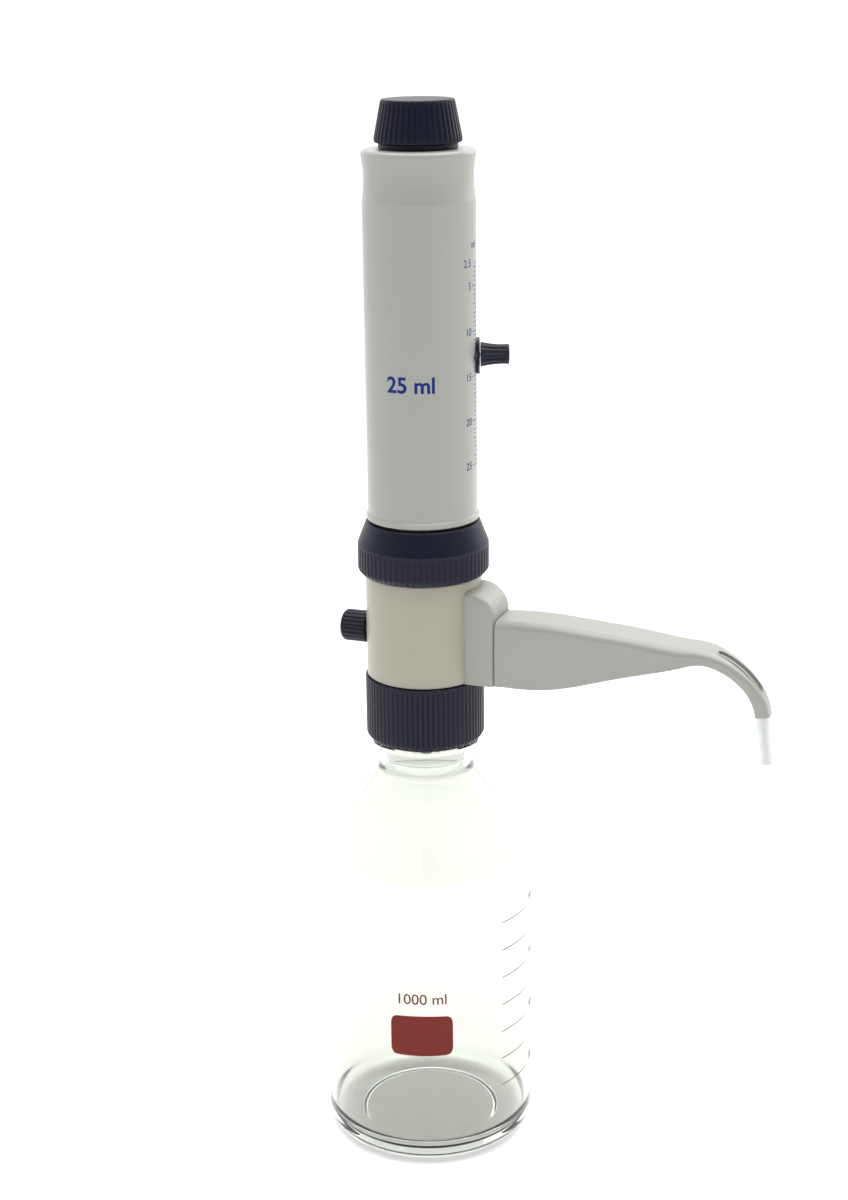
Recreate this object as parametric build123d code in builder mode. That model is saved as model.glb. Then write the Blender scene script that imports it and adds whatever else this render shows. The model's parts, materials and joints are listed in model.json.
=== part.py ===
"""Bottle-top dispenser on its reagent bottle, in millimetres.

The origin is the centre of the bottle's base on the surface that it stands on, with +Z up.
The arm points away from +X by arm_azimuth, and the volume knob points along +X.
"""
import os
from math import asin, cos, degrees, pi, radians, sin, sqrt, tan

from build123d import *

# Clearances
running_gap = 0.05
seat_gap = 0.1
body_gap = 0.3

# Reagent bottle, glass, with a 45 mm screw neck
bottle_radius = 50.5
bottle_height = 225.0
bottle_wall = 2.6
bottle_base_corner = 9.5
bottle_base_thickness = 5.0
bottle_foot_width = 7.0
bottle_kick_up = 2.4
shoulder_start_z = 137.0
shoulder_arc_radius = 40.0
shoulder_slope = 35.8
shoulder_foot_radius = 6.0
waist_radius = 22.9
waist_height = 5.4
bead_radius = 25.2
bead_rise = 5.0
bead_top_height = 2.6
neck_radius = 21.0
neck_bore_radius = 17.5
neck_rim_radius = 1.2

# Collar that screws on to the neck
collar_radius = 27.9
collar_bottom_z = 203.6
collar_thread_radius = 22.8
collar_lip_thickness = 5.2
collar_rib_count = 72
collar_rib_depth = 0.6
collar_rib_width = 1.1
collar_edge_radius = 1.8

# Gasket, bush and seal of the turning joint
gasket_thickness = 1.0
gasket_width = 2.8
bush_flange_thickness = 2.9
bush_flange_radius = 22.3
bush_hub_radius = 18.5
bush_bore_radius = 15.25
bush_top_gap = 0.1
ring_thickness = 1.5
ring_groove_depth = 1.2
ring_radius = 17.0
swivel_seal_section = 0.75
swivel_seal_rise = 4.5

# Valve block
block_radius = 27.0
block_height = 49.2
block_edge_radius = 0.8
stub_end_drop = 3.0
spigot_radius = 25.3
spigot_height = 16.0
channel_radius = 3.0
small_channel_radius = 1.5
branch_reach = 36.2
branch_half_width = 8.0
branch_top_rise = 30.7
branch_bottom_rise = 5.2
branch_start = 20.0

# Inlet valve under the block
inlet_radius = 8.0
inlet_height = 17.8
inlet_flange_across_flats = 17.0
inlet_flange_thickness = 5.0
inlet_nipple_radius = 4.0
inlet_nipple_length = 12.5
inlet_bore_radius = 2.0
inlet_chamber_radius = 4.2
inlet_ball_radius = 3.5
inlet_seat_rise = 4.0
inlet_stop_thickness = 2.2
ball_travel = 1.5
ball_seat_gap = 0.02

# Outlet valve in the block's branch
outlet_s = 30.5
outlet_tube_rise = 23.4
outlet_feed_rise = 10.2
outlet_radius = 4.4
outlet_ball_radius = 2.6
outlet_chamber_radius = 3.2
outlet_floor_rise = 14.2
outlet_seat_rise = 18.2
outlet_cartridge_top_rise = 27.2
plug_head_radius = 5.4
plug_head_thickness = 2.2
plug_pin_radius = 1.5

# Purge valve opposite the arm
purge_rise = 19.2
purge_spindle_radius = 3.5
purge_spindle_start = 9.0
purge_needle_length = 3.0
purge_return_offset = 11.5
purge_knob_radius = 7.5
purge_knob_start = 27.8
purge_knob_end = 40.4
purge_knob_edge = 2.0
purge_rib_count = 20
purge_rib_depth = 0.45
purge_rib_width = 0.9
purge_seal_s = 21.0
purge_seal_section = 0.6
return_tube_radius = 1.8
return_tube_bore = 1.0
return_tube_length = 16.5

# Measuring cylinder: its bore sets the stroke for each millilitre
cylinder_bore_radius = 8.865
cylinder_wall = 2.435
cylinder_seat_rise = 29.2
cylinder_gasket_thickness = 2.0
cylinder_length = 132.0
largest_volume_ml = 25.0
smallest_volume_ml = 2.5
set_volume_ml = 13.0

# Guide sleeve, its rings and the nut that clamps it
guide_radius = 21.6
guide_wall = 1.6
guide_flange_radius = 24.8
guide_flange_thickness = 3.5
guide_height = 151.5
guide_slot_width = 9.0
guide_slot_foot = 25.0
slide_ring_height = 6.0
slide_ring_window = 52.0
centering_ring_height = 4.0
nut_radius = 30.4
nut_bottom_gap = 0.3
nut_height = 24.7
nut_cone_height = 10.5
nut_cone_top_radius = 26.3
nut_rib_count = 68
nut_rib_depth = 0.7
nut_rib_width = 1.25
nut_edge_radius = 2.0

# Grip sleeve, which lifts the piston
sleeve_radius = 25.25
sleeve_wall = 1.95
sleeve_bottom_z = 310.2
sleeve_top_z = 476.5
sleeve_lip_radius = 26.0
sleeve_lip_height = 2.2
sleeve_top_thickness = 4.0
sleeve_rim_radius = 25.4
sleeve_rim_height = 2.5
sleeve_rim_edge = 2.0
waist_line_z = 454.3
finger_waist_radius = 24.4
finger_waist_z = 464.0
slot_width = 7.0
slot_margin = 7.6

# Piston
rod_radius = 4.0
piston_radius = 8.55
piston_height = 24.0
piston_floor_gap = 2.0
piston_seal_height = 2.4
piston_seal_depth = 1.3
piston_seal_places = (3.5, 16.0)
rod_socket_depth = 14.0
calibration_nut_radius = 11.0
calibration_nut_height = 6.0

# Pointer, its rack and the volume knob
zero_volume_z = 437.75
rack_inner_radius = 22.0
rack_half_width = 8.0
rack_window_width = 5.2
rack_tooth_depth = 0.9
rack_tooth_width = 1.1
rack_step_ml = 0.5
stem_width = 4.6
stem_height = 8.0
latch_width = 7.6
latch_height = 9.0
latch_thickness = 1.5
pointer_plate_radius = 26.6
pointer_plate_half_width = 6.6
pointer_plate_up = 7.2
pointer_plate_down = 8.1
pointer_tip_length = 3.2
pointer_tip_height = 5.0
knob_start = 26.9
knob_end = 39.8
knob_base_radius = 5.65
knob_neck_radius = 4.35
knob_end_radius = 4.5
knob_neck_share = 0.72
knob_flute_count = 12
knob_flute_radius = 0.6
knob_flute_rise = 0.2
knob_end_edge = 0.9
clamp_screw_radius = 1.5
clamp_screw_tail = 1.0

# Top knob
cap_bottom_z = 476.8
cap_top_z = 497.7
cap_top_radius = 16.2
cap_wide_radius = 19.45
cap_neck_radius = 17.6
cap_neck_height = 2.0
cap_band_height = 2.6
cap_rib_count = 44
cap_rib_depth = 0.6
cap_rib_width = 1.2
cap_edge = 0.7
cap_hollow_radius = 13.5
cap_hollow_height = 13.0
cap_boss_radius = 7.0
cap_rod_reach = 10.0

# Arm, drawn in its own upright plane: s runs outwards from the axis
arm_azimuth = -20.5
root_reach = 38.2
root_half_width = 12.3
root_shoulder_radius = 12.8
root_shoulder_rise = 31.5
root_wall = 1.8
root_edge = 2.4
arm_start = 38.5
arm_wall = 1.8
arm_tube_bore = 1.75
arm_top_corner = 3.6
arm_bottom_corner = 0.7
arm_cavity_end = 112.0
hook_centre_s = 127.08
hook_radius = 36.0
hook_turn = 60.0
hook_foot_radius = 20.0
hook_foot_turn = 24.0
hook_tail = 0.9
groove_start_angle = 71.0
groove_end_angle = 31.0
groove_half_width = 2.5
groove_depth = 0.9
groove_rim = 0.8
groove_rim_height = 0.45
cover_thickness = 1.5

# Discharge tube and nozzle
tube_radius = 1.6
tube_bore = 0.9
tube_nut_radius = 4.4
tube_nut_start = 37.2
tube_nut_length = 6.5
port_nipple_radius = 3.0
port_nipple_end = 41.0
nozzle_top_radius = 3.45
nozzle_tip_radius = 2.75
nozzle_length = 23.3
nozzle_tip_length = 6.0
nozzle_stem_radius = 2.4
nozzle_stem_length = 5.0
nozzle_bore = 1.0
nozzle_end_edge = 0.6

# Heights that follow from the stack on the bottle's neck
gasket_top_z = bottle_height + gasket_thickness
bush_flange_top_z = gasket_top_z + bush_flange_thickness
collar_lip_z = bush_flange_top_z + body_gap
collar_top_z = collar_lip_z + collar_lip_thickness
block_bottom_z = collar_top_z + body_gap
bush_top_z = block_bottom_z - bush_top_gap
block_top_z = block_bottom_z + block_height
spigot_top_z = block_top_z + spigot_height
stub_radius = bush_bore_radius - running_gap
stub_bottom_z = bottle_height - stub_end_drop
nut_bottom_z = block_top_z + nut_bottom_gap
nut_top_z = nut_bottom_z + nut_height
guide_flange_top_z = spigot_top_z + guide_flange_thickness
guide_top_z = spigot_top_z + guide_flange_thickness + guide_height
tube_z = block_bottom_z + outlet_tube_rise
purge_z = block_bottom_z + purge_rise

# Stroke and pointer
mm_per_ml = 1000.0 / (pi * cylinder_bore_radius ** 2)
full_stroke = largest_volume_ml * mm_per_ml
slot_low_z = zero_volume_z - largest_volume_ml * mm_per_ml
slot_high_z = zero_volume_z - smallest_volume_ml * mm_per_ml
pointer_z = zero_volume_z - set_volume_ml * mm_per_ml

# Radii that follow
sleeve_bore_radius = sleeve_radius - sleeve_wall
guide_bore_radius = guide_radius - guide_wall
cylinder_radius = cylinder_bore_radius + cylinder_wall
cylinder_seat_z = block_bottom_z + cylinder_seat_rise
cylinder_bottom_z = cylinder_seat_z + cylinder_gasket_thickness
cylinder_top_z = cylinder_bottom_z + cylinder_length

# Directions in the arm's plane
arm_x = cos(radians(arm_azimuth))
arm_y = sin(radians(arm_azimuth))
arm_side = Plane(origin=(0, 0, 0), x_dir=(arm_x, arm_y, 0), z_dir=(arm_y, -arm_x, 0))
arm_out = Vector(arm_x, arm_y, 0)
arm_lateral = Vector(-arm_y, arm_x, 0)


def arm_point(s, z):
    """A point of the arm's upright plane, s outwards from the axis."""
    return Vector(s * arm_x, s * arm_y, z)


def along_arm(s, z):
    """A plane across the arm's direction, for round features that point outwards."""
    return Plane(origin=arm_point(s, z), x_dir=arm_lateral, z_dir=arm_out)


def against_arm(s, z):
    """The same on the far side of the block, pointing away from the arm."""
    return Plane(origin=arm_point(-s, z), x_dir=-arm_lateral, z_dir=-arm_out)


def finish(builder, name):
    """Name a piece and write its file."""
    builder.part.label = name
    export_step(builder.part, "parts/" + name + ".step")


def groove_cutters(radius, count, depth, width, low, high):
    """Upright V grooves spaced evenly round a rim."""
    with BuildPart() as cutters:
        with BuildSketch(Plane.XY.offset(low)):
            with PolarLocations(radius, count):
                Polygon((0.3, -width / 2), (0.3, width / 2), (-depth, 0), align=None)
        extrude(amount=high - low)
    return cutters.part


def ring(inner, outer, low, high):
    """A plain ring about the axis."""
    with BuildPart() as made:
        with BuildSketch(Plane.XY.offset(low)):
            Circle(outer)
            Circle(inner, mode=Mode.SUBTRACT)
        extrude(amount=high - low)
    return made


def shoulder(inset, foot_radius, bore):
    """Centres and tangent points of the bottle's shoulder, a wall's thickness in from the outside."""
    slope = radians(shoulder_slope)
    centre = (bottle_radius - shoulder_arc_radius, shoulder_start_z)
    arc = shoulder_arc_radius - inset
    arc_end = (centre[0] + arc * cos(slope), centre[1] + arc * sin(slope))
    run = (arc_end[0] - bore - foot_radius * (1 - cos(slope))) / sin(slope)
    foot_centre = (bore + foot_radius, arc_end[1] + run * cos(slope) + foot_radius * sin(slope))
    foot_start = (foot_centre[0] - foot_radius * cos(slope), foot_centre[1] - foot_radius * sin(slope))
    return centre, arc, arc_end, foot_centre, foot_start


os.makedirs("parts", exist_ok=True)

# Reagent bottle
with BuildPart() as reagent_bottle:
    centre, arc, arc_end, foot_centre, foot_start = shoulder(0, shoulder_foot_radius, waist_radius)
    foot_outer = bottle_radius - bottle_base_corner
    foot_inner = foot_outer - bottle_foot_width
    bead_z = foot_centre[1] + waist_height + bead_rise
    with BuildSketch(Plane.XZ):
        with BuildLine():
            Polyline((0, bottle_kick_up), (foot_inner - bottle_kick_up, bottle_kick_up), (foot_inner, 0), (foot_outer, 0))
            CenterArc((foot_outer, bottle_base_corner), bottle_base_corner, -90, 90)
            Line((bottle_radius, bottle_base_corner), (bottle_radius, shoulder_start_z))
            CenterArc(centre, arc, 0, shoulder_slope)
            Line(arc_end, foot_start)
            CenterArc(foot_centre, shoulder_foot_radius, 180 + shoulder_slope, -shoulder_slope)
            Polyline(
                (waist_radius, foot_centre[1]),
                (waist_radius, foot_centre[1] + waist_height),
                (bead_radius, bead_z),
                (bead_radius, bead_z + bead_top_height / 2),
                (neck_radius, bead_z + bead_top_height),
                (neck_radius, bottle_height - neck_rim_radius),
                (neck_radius - neck_rim_radius, bottle_height),
                (0, bottle_height),
                (0, bottle_kick_up),
            )
        make_face()
    revolve(axis=Axis.Z)
    fillet(
        reagent_bottle.edges().filter_by(GeomType.CIRCLE).filter_by(lambda e: abs(e.radius - bead_radius) < 0.01),
        bead_top_height / 5,
    )
    centre, arc, arc_end, foot_centre, foot_start = shoulder(bottle_wall, shoulder_foot_radius + bottle_wall, neck_bore_radius)
    floor_z = bottle_kick_up + bottle_base_thickness
    inner_radius = bottle_radius - bottle_wall
    inner_corner = bottle_base_corner - bottle_wall / 2
    with BuildSketch(Plane.XZ):
        with BuildLine():
            Line((0, floor_z), (inner_radius - inner_corner, floor_z))
            CenterArc((inner_radius - inner_corner, floor_z + inner_corner), inner_corner, -90, 90)
            Line((inner_radius, floor_z + inner_corner), (inner_radius, shoulder_start_z))
            CenterArc(centre, arc, 0, shoulder_slope)
            Line(arc_end, foot_start)
            CenterArc(foot_centre, shoulder_foot_radius + bottle_wall, 180 + shoulder_slope, -shoulder_slope)
            Polyline(
                (neck_bore_radius, foot_centre[1]),
                (neck_bore_radius, bottle_height + 1),
                (0, bottle_height + 1),
                (0, floor_z),
            )
        make_face()
    revolve(axis=Axis.Z, mode=Mode.SUBTRACT)
finish(reagent_bottle, "reagent_bottle")

# Gasket on the bottle's rim
neck_gasket = ring(neck_bore_radius + 0.3, neck_bore_radius + 0.3 + gasket_width, bottle_height, gasket_top_z)
finish(neck_gasket, "neck_gasket")

# Flanged bush in which the block turns
with BuildPart() as swivel_bush:
    with BuildSketch(Plane.XY.offset(gasket_top_z)):
        Circle(bush_flange_radius)
    extrude(amount=bush_flange_thickness)
    with BuildSketch(Plane.XY.offset(bush_flange_top_z)):
        Circle(bush_hub_radius)
    extrude(amount=bush_top_z - bush_flange_top_z)
    with BuildSketch(Plane.XY.offset(gasket_top_z)):
        Circle(bush_bore_radius)
    extrude(amount=bush_top_z - gasket_top_z, mode=Mode.SUBTRACT)
    chamfer(swivel_bush.faces().sort_by(Axis.Z)[-1].edges().sort_by(SortBy.LENGTH)[-1], 0.4)
finish(swivel_bush, "swivel_bush")

# Collar that pulls the bush on to the rim
with BuildPart() as threaded_collar:
    with BuildSketch(Plane.XY.offset(collar_bottom_z)):
        Circle(collar_radius)
    extrude(amount=collar_top_z - collar_bottom_z)
    fillet(threaded_collar.faces().sort_by(Axis.Z)[0].edges(), collar_edge_radius)
    chamfer(threaded_collar.faces().sort_by(Axis.Z)[-1].edges(), collar_rib_depth)
    add(
        groove_cutters(
            collar_radius, collar_rib_count, collar_rib_depth, collar_rib_width, collar_bottom_z - 1, collar_top_z + 1
        ),
        mode=Mode.SUBTRACT,
    )
    with BuildSketch(Plane.XY.offset(collar_bottom_z)):
        Circle(collar_thread_radius)
    extrude(amount=collar_lip_z - collar_bottom_z, mode=Mode.SUBTRACT)
    with BuildSketch(Plane.XY.offset(collar_lip_z)):
        Circle(bush_hub_radius + body_gap)
    extrude(amount=collar_lip_thickness, mode=Mode.SUBTRACT)
finish(threaded_collar, "threaded_collar")

# Clip ring that holds the stub in the bush
ring_top_z = gasket_top_z - body_gap
groove_radius = stub_radius - ring_groove_depth
retaining_ring = ring(groove_radius + running_gap, ring_radius, ring_top_z - ring_thickness, ring_top_z)
finish(retaining_ring, "retaining_ring")

# Valve block, with its stub below, spigot above and the branch that feeds the arm
swivel_seal_z = gasket_top_z + swivel_seal_rise
seal_groove_depth = 2 * swivel_seal_section
inlet_bottom_z = stub_bottom_z
inlet_top_z = inlet_bottom_z + inlet_height
feed_z = block_bottom_z + outlet_feed_rise
outlet_floor_z = block_bottom_z + outlet_floor_rise
outlet_seat_z = block_bottom_z + outlet_seat_rise
cartridge_top_z = block_bottom_z + outlet_cartridge_top_rise
branch_bottom_z = block_bottom_z + branch_bottom_rise
branch_top_z = block_bottom_z + branch_top_rise
with BuildPart() as valve_block:
    with BuildSketch(Plane.XY.offset(block_bottom_z)):
        Circle(block_radius)
    extrude(amount=block_height)
    fillet(valve_block.edges(), block_edge_radius)
    with BuildSketch(Plane.XY.offset(block_top_z)):
        Circle(spigot_radius)
    extrude(amount=spigot_height)
    with BuildSketch(Plane.XY.offset(stub_bottom_z)):
        Circle(stub_radius)
    extrude(amount=block_bottom_z - stub_bottom_z)
    with BuildSketch(Plane.XY.offset(branch_bottom_z)):
        with Locations(arm_out * ((branch_start + branch_reach) / 2)):
            Rectangle(branch_reach - branch_start, 2 * branch_half_width, rotation=arm_azimuth)
    extrude(amount=branch_top_z - branch_bottom_z)
    with BuildSketch(along_arm(branch_reach - 1, tube_z)):
        Circle(port_nipple_radius)
    extrude(amount=port_nipple_end - branch_reach + 1)
    # Grooves of the stub
    with BuildSketch(Plane.XY.offset(ring_top_z - ring_thickness - running_gap)):
        Circle(stub_radius + 1)
        Circle(groove_radius, mode=Mode.SUBTRACT)
    extrude(amount=ring_thickness + 2 * running_gap, mode=Mode.SUBTRACT)
    with BuildSketch(Plane.XY.offset(swivel_seal_z - swivel_seal_section - running_gap)):
        Circle(stub_radius + 1)
        Circle(stub_radius - seal_groove_depth, mode=Mode.SUBTRACT)
    extrude(amount=2 * (swivel_seal_section + running_gap), mode=Mode.SUBTRACT)
    # Inlet bore and the channel up to the cylinder
    with BuildSketch(Plane.XY.offset(inlet_bottom_z)):
        Circle(inlet_radius)
    extrude(amount=inlet_height, mode=Mode.SUBTRACT)
    with BuildSketch(Plane.XY.offset(inlet_top_z)):
        Circle(channel_radius)
    extrude(amount=cylinder_seat_z - inlet_top_z, mode=Mode.SUBTRACT)
    with BuildSketch(Plane.XY.offset(cylinder_seat_z)):
        Circle(cylinder_radius + seat_gap)
    extrude(amount=spigot_top_z - cylinder_seat_z, mode=Mode.SUBTRACT)
    # Feed to the outlet valve, the valve's bore and its port
    with BuildSketch(along_arm(0, feed_z)):
        Circle(small_channel_radius)
    extrude(amount=outlet_s, mode=Mode.SUBTRACT)
    with BuildSketch(Plane.XY.offset(feed_z)):
        with Locations(arm_out * outlet_s):
            Circle(small_channel_radius)
    extrude(amount=outlet_floor_z - feed_z, mode=Mode.SUBTRACT)
    with BuildSketch(Plane.XY.offset(outlet_floor_z)):
        with Locations(arm_out * outlet_s):
            Circle(outlet_radius)
    extrude(amount=branch_top_z - outlet_floor_z, mode=Mode.SUBTRACT)
    with BuildSketch(Plane.XY.offset(branch_top_z)):
        with Locations(arm_out * outlet_s):
            Circle(plug_head_radius + body_gap)
    extrude(amount=plug_head_thickness + 1, mode=Mode.SUBTRACT)
    with BuildSketch(along_arm(outlet_s, tube_z)):
        Circle(tube_radius + running_gap)
    extrude(amount=port_nipple_end - outlet_s, mode=Mode.SUBTRACT)
    # Purge spindle's bore, its needle seat and the way back down
    with BuildSketch(against_arm(0, purge_z)):
        Circle(small_channel_radius)
    extrude(amount=purge_spindle_start, mode=Mode.SUBTRACT)
    with BuildSketch(against_arm(purge_spindle_start, purge_z)):
        Circle(purge_spindle_radius)
    extrude(amount=block_radius, mode=Mode.SUBTRACT)
    with BuildSketch(Plane.XY.offset(stub_bottom_z)):
        with Locations(arm_out * -purge_return_offset):
            Circle(return_tube_bore)
    extrude(amount=purge_z - stub_bottom_z, mode=Mode.SUBTRACT)
    return_socket_depth = return_tube_length / 4
    with BuildSketch(Plane.XY.offset(stub_bottom_z)):
        with Locations(arm_out * -purge_return_offset):
            Circle(return_tube_radius)
    extrude(amount=return_socket_depth, mode=Mode.SUBTRACT)
finish(valve_block, "valve_block")

# Seal ring of the stub
with BuildPart() as swivel_seal:
    with BuildSketch(Plane.XZ):
        with Locations((stub_radius - swivel_seal_section, swivel_seal_z)):
            Circle(swivel_seal_section)
    revolve(axis=Axis.Z)
finish(swivel_seal, "swivel_seal")

# Inlet valve: seat, chamber and the nipple for a filling tube
flange_bottom_z = inlet_bottom_z - inlet_flange_thickness
nipple_bottom_z = flange_bottom_z - inlet_nipple_length
inlet_seat_z = inlet_bottom_z + inlet_seat_rise
with BuildPart() as inlet_valve_body:
    with BuildSketch(Plane.XY.offset(nipple_bottom_z)):
        Circle(inlet_nipple_radius)
    extrude(amount=inlet_nipple_length)
    chamfer(inlet_valve_body.faces().sort_by(Axis.Z)[0].edges(), 0.5)
    with BuildSketch(Plane.XY.offset(flange_bottom_z)):
        RegularPolygon(inlet_flange_across_flats / 2, 6, major_radius=False)
    extrude(amount=inlet_flange_thickness)
    with BuildSketch(Plane.XY.offset(inlet_bottom_z)):
        Circle(inlet_radius - running_gap)
    extrude(amount=inlet_height - running_gap)
    with BuildSketch(Plane.XY.offset(nipple_bottom_z)):
        Circle(inlet_bore_radius)
    extrude(amount=inlet_seat_z - nipple_bottom_z, mode=Mode.SUBTRACT)
    with BuildSketch(Plane.XY.offset(inlet_seat_z)):
        Circle(inlet_chamber_radius)
    extrude(amount=inlet_height, mode=Mode.SUBTRACT)
finish(inlet_valve_body, "inlet_valve_body")

# Ball on the inlet seat
ball_rise = sqrt(inlet_ball_radius ** 2 - inlet_bore_radius ** 2)
inlet_ball_z = inlet_seat_z + ball_rise + ball_seat_gap
with BuildPart() as inlet_ball:
    with Locations((0, 0, inlet_ball_z)):
        Sphere(inlet_ball_radius)
finish(inlet_ball, "inlet_ball")

# Pierced disc that stops the ball
stop_top_z = inlet_top_z - running_gap
with BuildPart() as inlet_ball_stop:
    with BuildSketch(Plane.XY.offset(inlet_ball_z + inlet_ball_radius + ball_travel + body_gap)):
        Circle(inlet_chamber_radius - running_gap)
        with PolarLocations(inlet_chamber_radius / 2, 4):
            Circle(inlet_chamber_radius / 5, mode=Mode.SUBTRACT)
    extrude(amount=inlet_stop_thickness)
finish(inlet_ball_stop, "inlet_ball_stop")

# Outlet valve's cartridge
with BuildPart() as outlet_valve_body:
    with BuildSketch(Plane.XY.offset(outlet_floor_z)):
        with Locations(arm_out * outlet_s):
            Circle(outlet_radius - running_gap)
    extrude(amount=cartridge_top_z - outlet_floor_z)
    with BuildSketch(Plane.XY.offset(outlet_floor_z)):
        with Locations(arm_out * outlet_s):
            Circle(small_channel_radius)
    extrude(amount=outlet_seat_z - outlet_floor_z, mode=Mode.SUBTRACT)
    with BuildSketch(Plane.XY.offset(outlet_seat_z)):
        with Locations(arm_out * outlet_s):
            Circle(outlet_chamber_radius)
    extrude(amount=cartridge_top_z - outlet_seat_z, mode=Mode.SUBTRACT)
    with BuildSketch(along_arm(outlet_s, tube_z)):
        Circle(tube_radius)
    extrude(amount=outlet_radius + 1, mode=Mode.SUBTRACT)
finish(outlet_valve_body, "outlet_valve_body")

# Ball on the outlet seat
outlet_ball_z = outlet_seat_z + sqrt(outlet_ball_radius ** 2 - small_channel_radius ** 2) + ball_seat_gap
with BuildPart() as outlet_ball:
    with Locations(arm_point(outlet_s, outlet_ball_z)):
        Sphere(outlet_ball_radius)
finish(outlet_ball, "outlet_ball")

# Plug over the outlet valve, with the pin that stops the ball
pin_z = outlet_ball_z + outlet_ball_radius + ball_travel + body_gap
with BuildPart() as outlet_plug:
    with BuildSketch(Plane.XY.offset(pin_z)):
        with Locations(arm_out * outlet_s):
            Circle(plug_pin_radius)
    extrude(amount=cartridge_top_z - pin_z)
    with BuildSketch(Plane.XY.offset(cartridge_top_z)):
        with Locations(arm_out * outlet_s):
            Circle(outlet_radius - running_gap)
    extrude(amount=branch_top_z - cartridge_top_z)
    with BuildSketch(Plane.XY.offset(branch_top_z)):
        with Locations(arm_out * outlet_s):
            RegularPolygon(plug_head_radius, 6, rotation=arm_azimuth)
    extrude(amount=plug_head_thickness)
finish(outlet_plug, "outlet_plug")

# Purge spindle with its needle tip
with BuildPart() as purge_spindle:
    spindle_radius = purge_spindle_radius - running_gap
    knob_socket = purge_knob_start + (purge_knob_end - purge_knob_start) / 2
    with BuildSketch(against_arm(0, purge_z)):
        Circle(spindle_radius)
    extrude(amount=knob_socket)
    with BuildSketch(arm_side):
        Polygon(
            (-purge_spindle_start - running_gap, purge_z),
            (-purge_spindle_start - running_gap, purge_z + small_channel_radius / 2),
            (-purge_spindle_start - purge_needle_length, purge_z + spindle_radius),
            (-knob_socket, purge_z + spindle_radius),
            (-knob_socket, purge_z),
            align=None,
        )
    revolve(axis=Axis(arm_point(0, purge_z), arm_out), mode=Mode.INTERSECT)
    with BuildSketch(against_arm(purge_seal_s - purge_seal_section, purge_z)):
        Circle(spindle_radius + 1)
        Circle(spindle_radius - 2 * purge_seal_section, mode=Mode.SUBTRACT)
    extrude(amount=2 * purge_seal_section, mode=Mode.SUBTRACT)
finish(purge_spindle, "purge_spindle")

# Seal ring of the spindle
with BuildPart() as purge_seal:
    with BuildSketch(arm_side):
        with Locations((-purge_seal_s, purge_z + purge_spindle_radius - running_gap - purge_seal_section)):
            Circle(purge_seal_section - running_gap)
    revolve(axis=Axis(arm_point(0, purge_z), arm_out))
finish(purge_seal, "purge_seal")

# Purge knob
with BuildPart() as purge_knob:
    with BuildSketch(against_arm(purge_knob_start, purge_z)):
        Circle(purge_knob_radius)
        with PolarLocations(purge_knob_radius, purge_rib_count):
            Polygon(
                (0.3, -purge_rib_width / 2), (0.3, purge_rib_width / 2), (-purge_rib_depth, 0), align=None,
                mode=Mode.SUBTRACT,
            )
    extrude(amount=purge_knob_end - purge_knob_start)
    with BuildSketch(arm_side):
        with BuildLine():
            inner_r = purge_knob_radius - purge_knob_edge
            Line((-purge_knob_end, purge_z), (-purge_knob_end, purge_z + inner_r))
            CenterArc((-purge_knob_end + purge_knob_edge, purge_z + inner_r), purge_knob_edge, 180, -90)
            Polyline(
                (-purge_knob_end + purge_knob_edge, purge_z + purge_knob_radius),
                (-purge_knob_start, purge_z + purge_knob_radius),
                (-purge_knob_start, purge_z),
                (-purge_knob_end, purge_z),
            )
        make_face()
    revolve(axis=Axis(arm_point(0, purge_z), arm_out), mode=Mode.INTERSECT)
    with BuildSketch(against_arm(purge_knob_start, purge_z)):
        Circle(purge_spindle_radius)
    extrude(amount=knob_socket - purge_knob_start, mode=Mode.SUBTRACT)
finish(purge_knob, "purge_knob")

# Tube that brings purged liquid back into the bottle
with BuildPart() as return_tube:
    with BuildSketch(Plane.XY.offset(stub_bottom_z + return_socket_depth - return_tube_length)):
        with Locations(arm_out * -purge_return_offset):
            Circle(return_tube_radius - running_gap)
            Circle(return_tube_bore, mode=Mode.SUBTRACT)
    extrude(amount=return_tube_length - running_gap)
finish(return_tube, "return_tube")

# Cover over the branch, from the block to the arm's seam
root_top_z = block_bottom_z + root_shoulder_rise


def root_profile(inset):
    """The cover's outline in the arm's plane: an upright end under a round shoulder."""
    end = root_reach - inset
    radius = root_shoulder_radius - inset
    with BuildSketch(arm_side) as profile:
        with BuildLine():
            Polyline(
                (branch_start - 4, block_bottom_z + inset),
                (end, block_bottom_z + inset),
                (end, root_top_z),
            )
            CenterArc((end - radius, root_top_z), radius, 0, 90)
            Polyline(
                (end - radius, root_top_z + radius),
                (branch_start - 4, root_top_z + radius),
                (branch_start - 4, block_bottom_z + inset),
            )
        make_face()
    return profile.sketch


with BuildPart() as arm_root_cover:
    extrude(root_profile(0), amount=root_half_width, both=True)
    upper_edges = (
        arm_root_cover.edges()
        .filter_by(lambda e: abs(arm_side.to_local_coords(e.center()).Z) > root_half_width - 0.1)
        .filter_by(lambda e: e.center().Z > root_top_z - 0.1)
    )
    fillet(upper_edges, root_edge)
    extrude(root_profile(root_wall), amount=root_half_width - root_wall, both=True, mode=Mode.SUBTRACT)
    with BuildSketch(Plane.XY.offset(block_bottom_z - 1)):
        Circle(block_radius + running_gap)
    extrude(amount=block_height, mode=Mode.SUBTRACT)
    with BuildSketch(along_arm(root_reach - root_wall - 1, tube_z)):
        Circle(tube_nut_radius + body_gap)
    extrude(amount=root_wall + 2, mode=Mode.SUBTRACT)
finish(arm_root_cover, "arm_root_cover")

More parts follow.
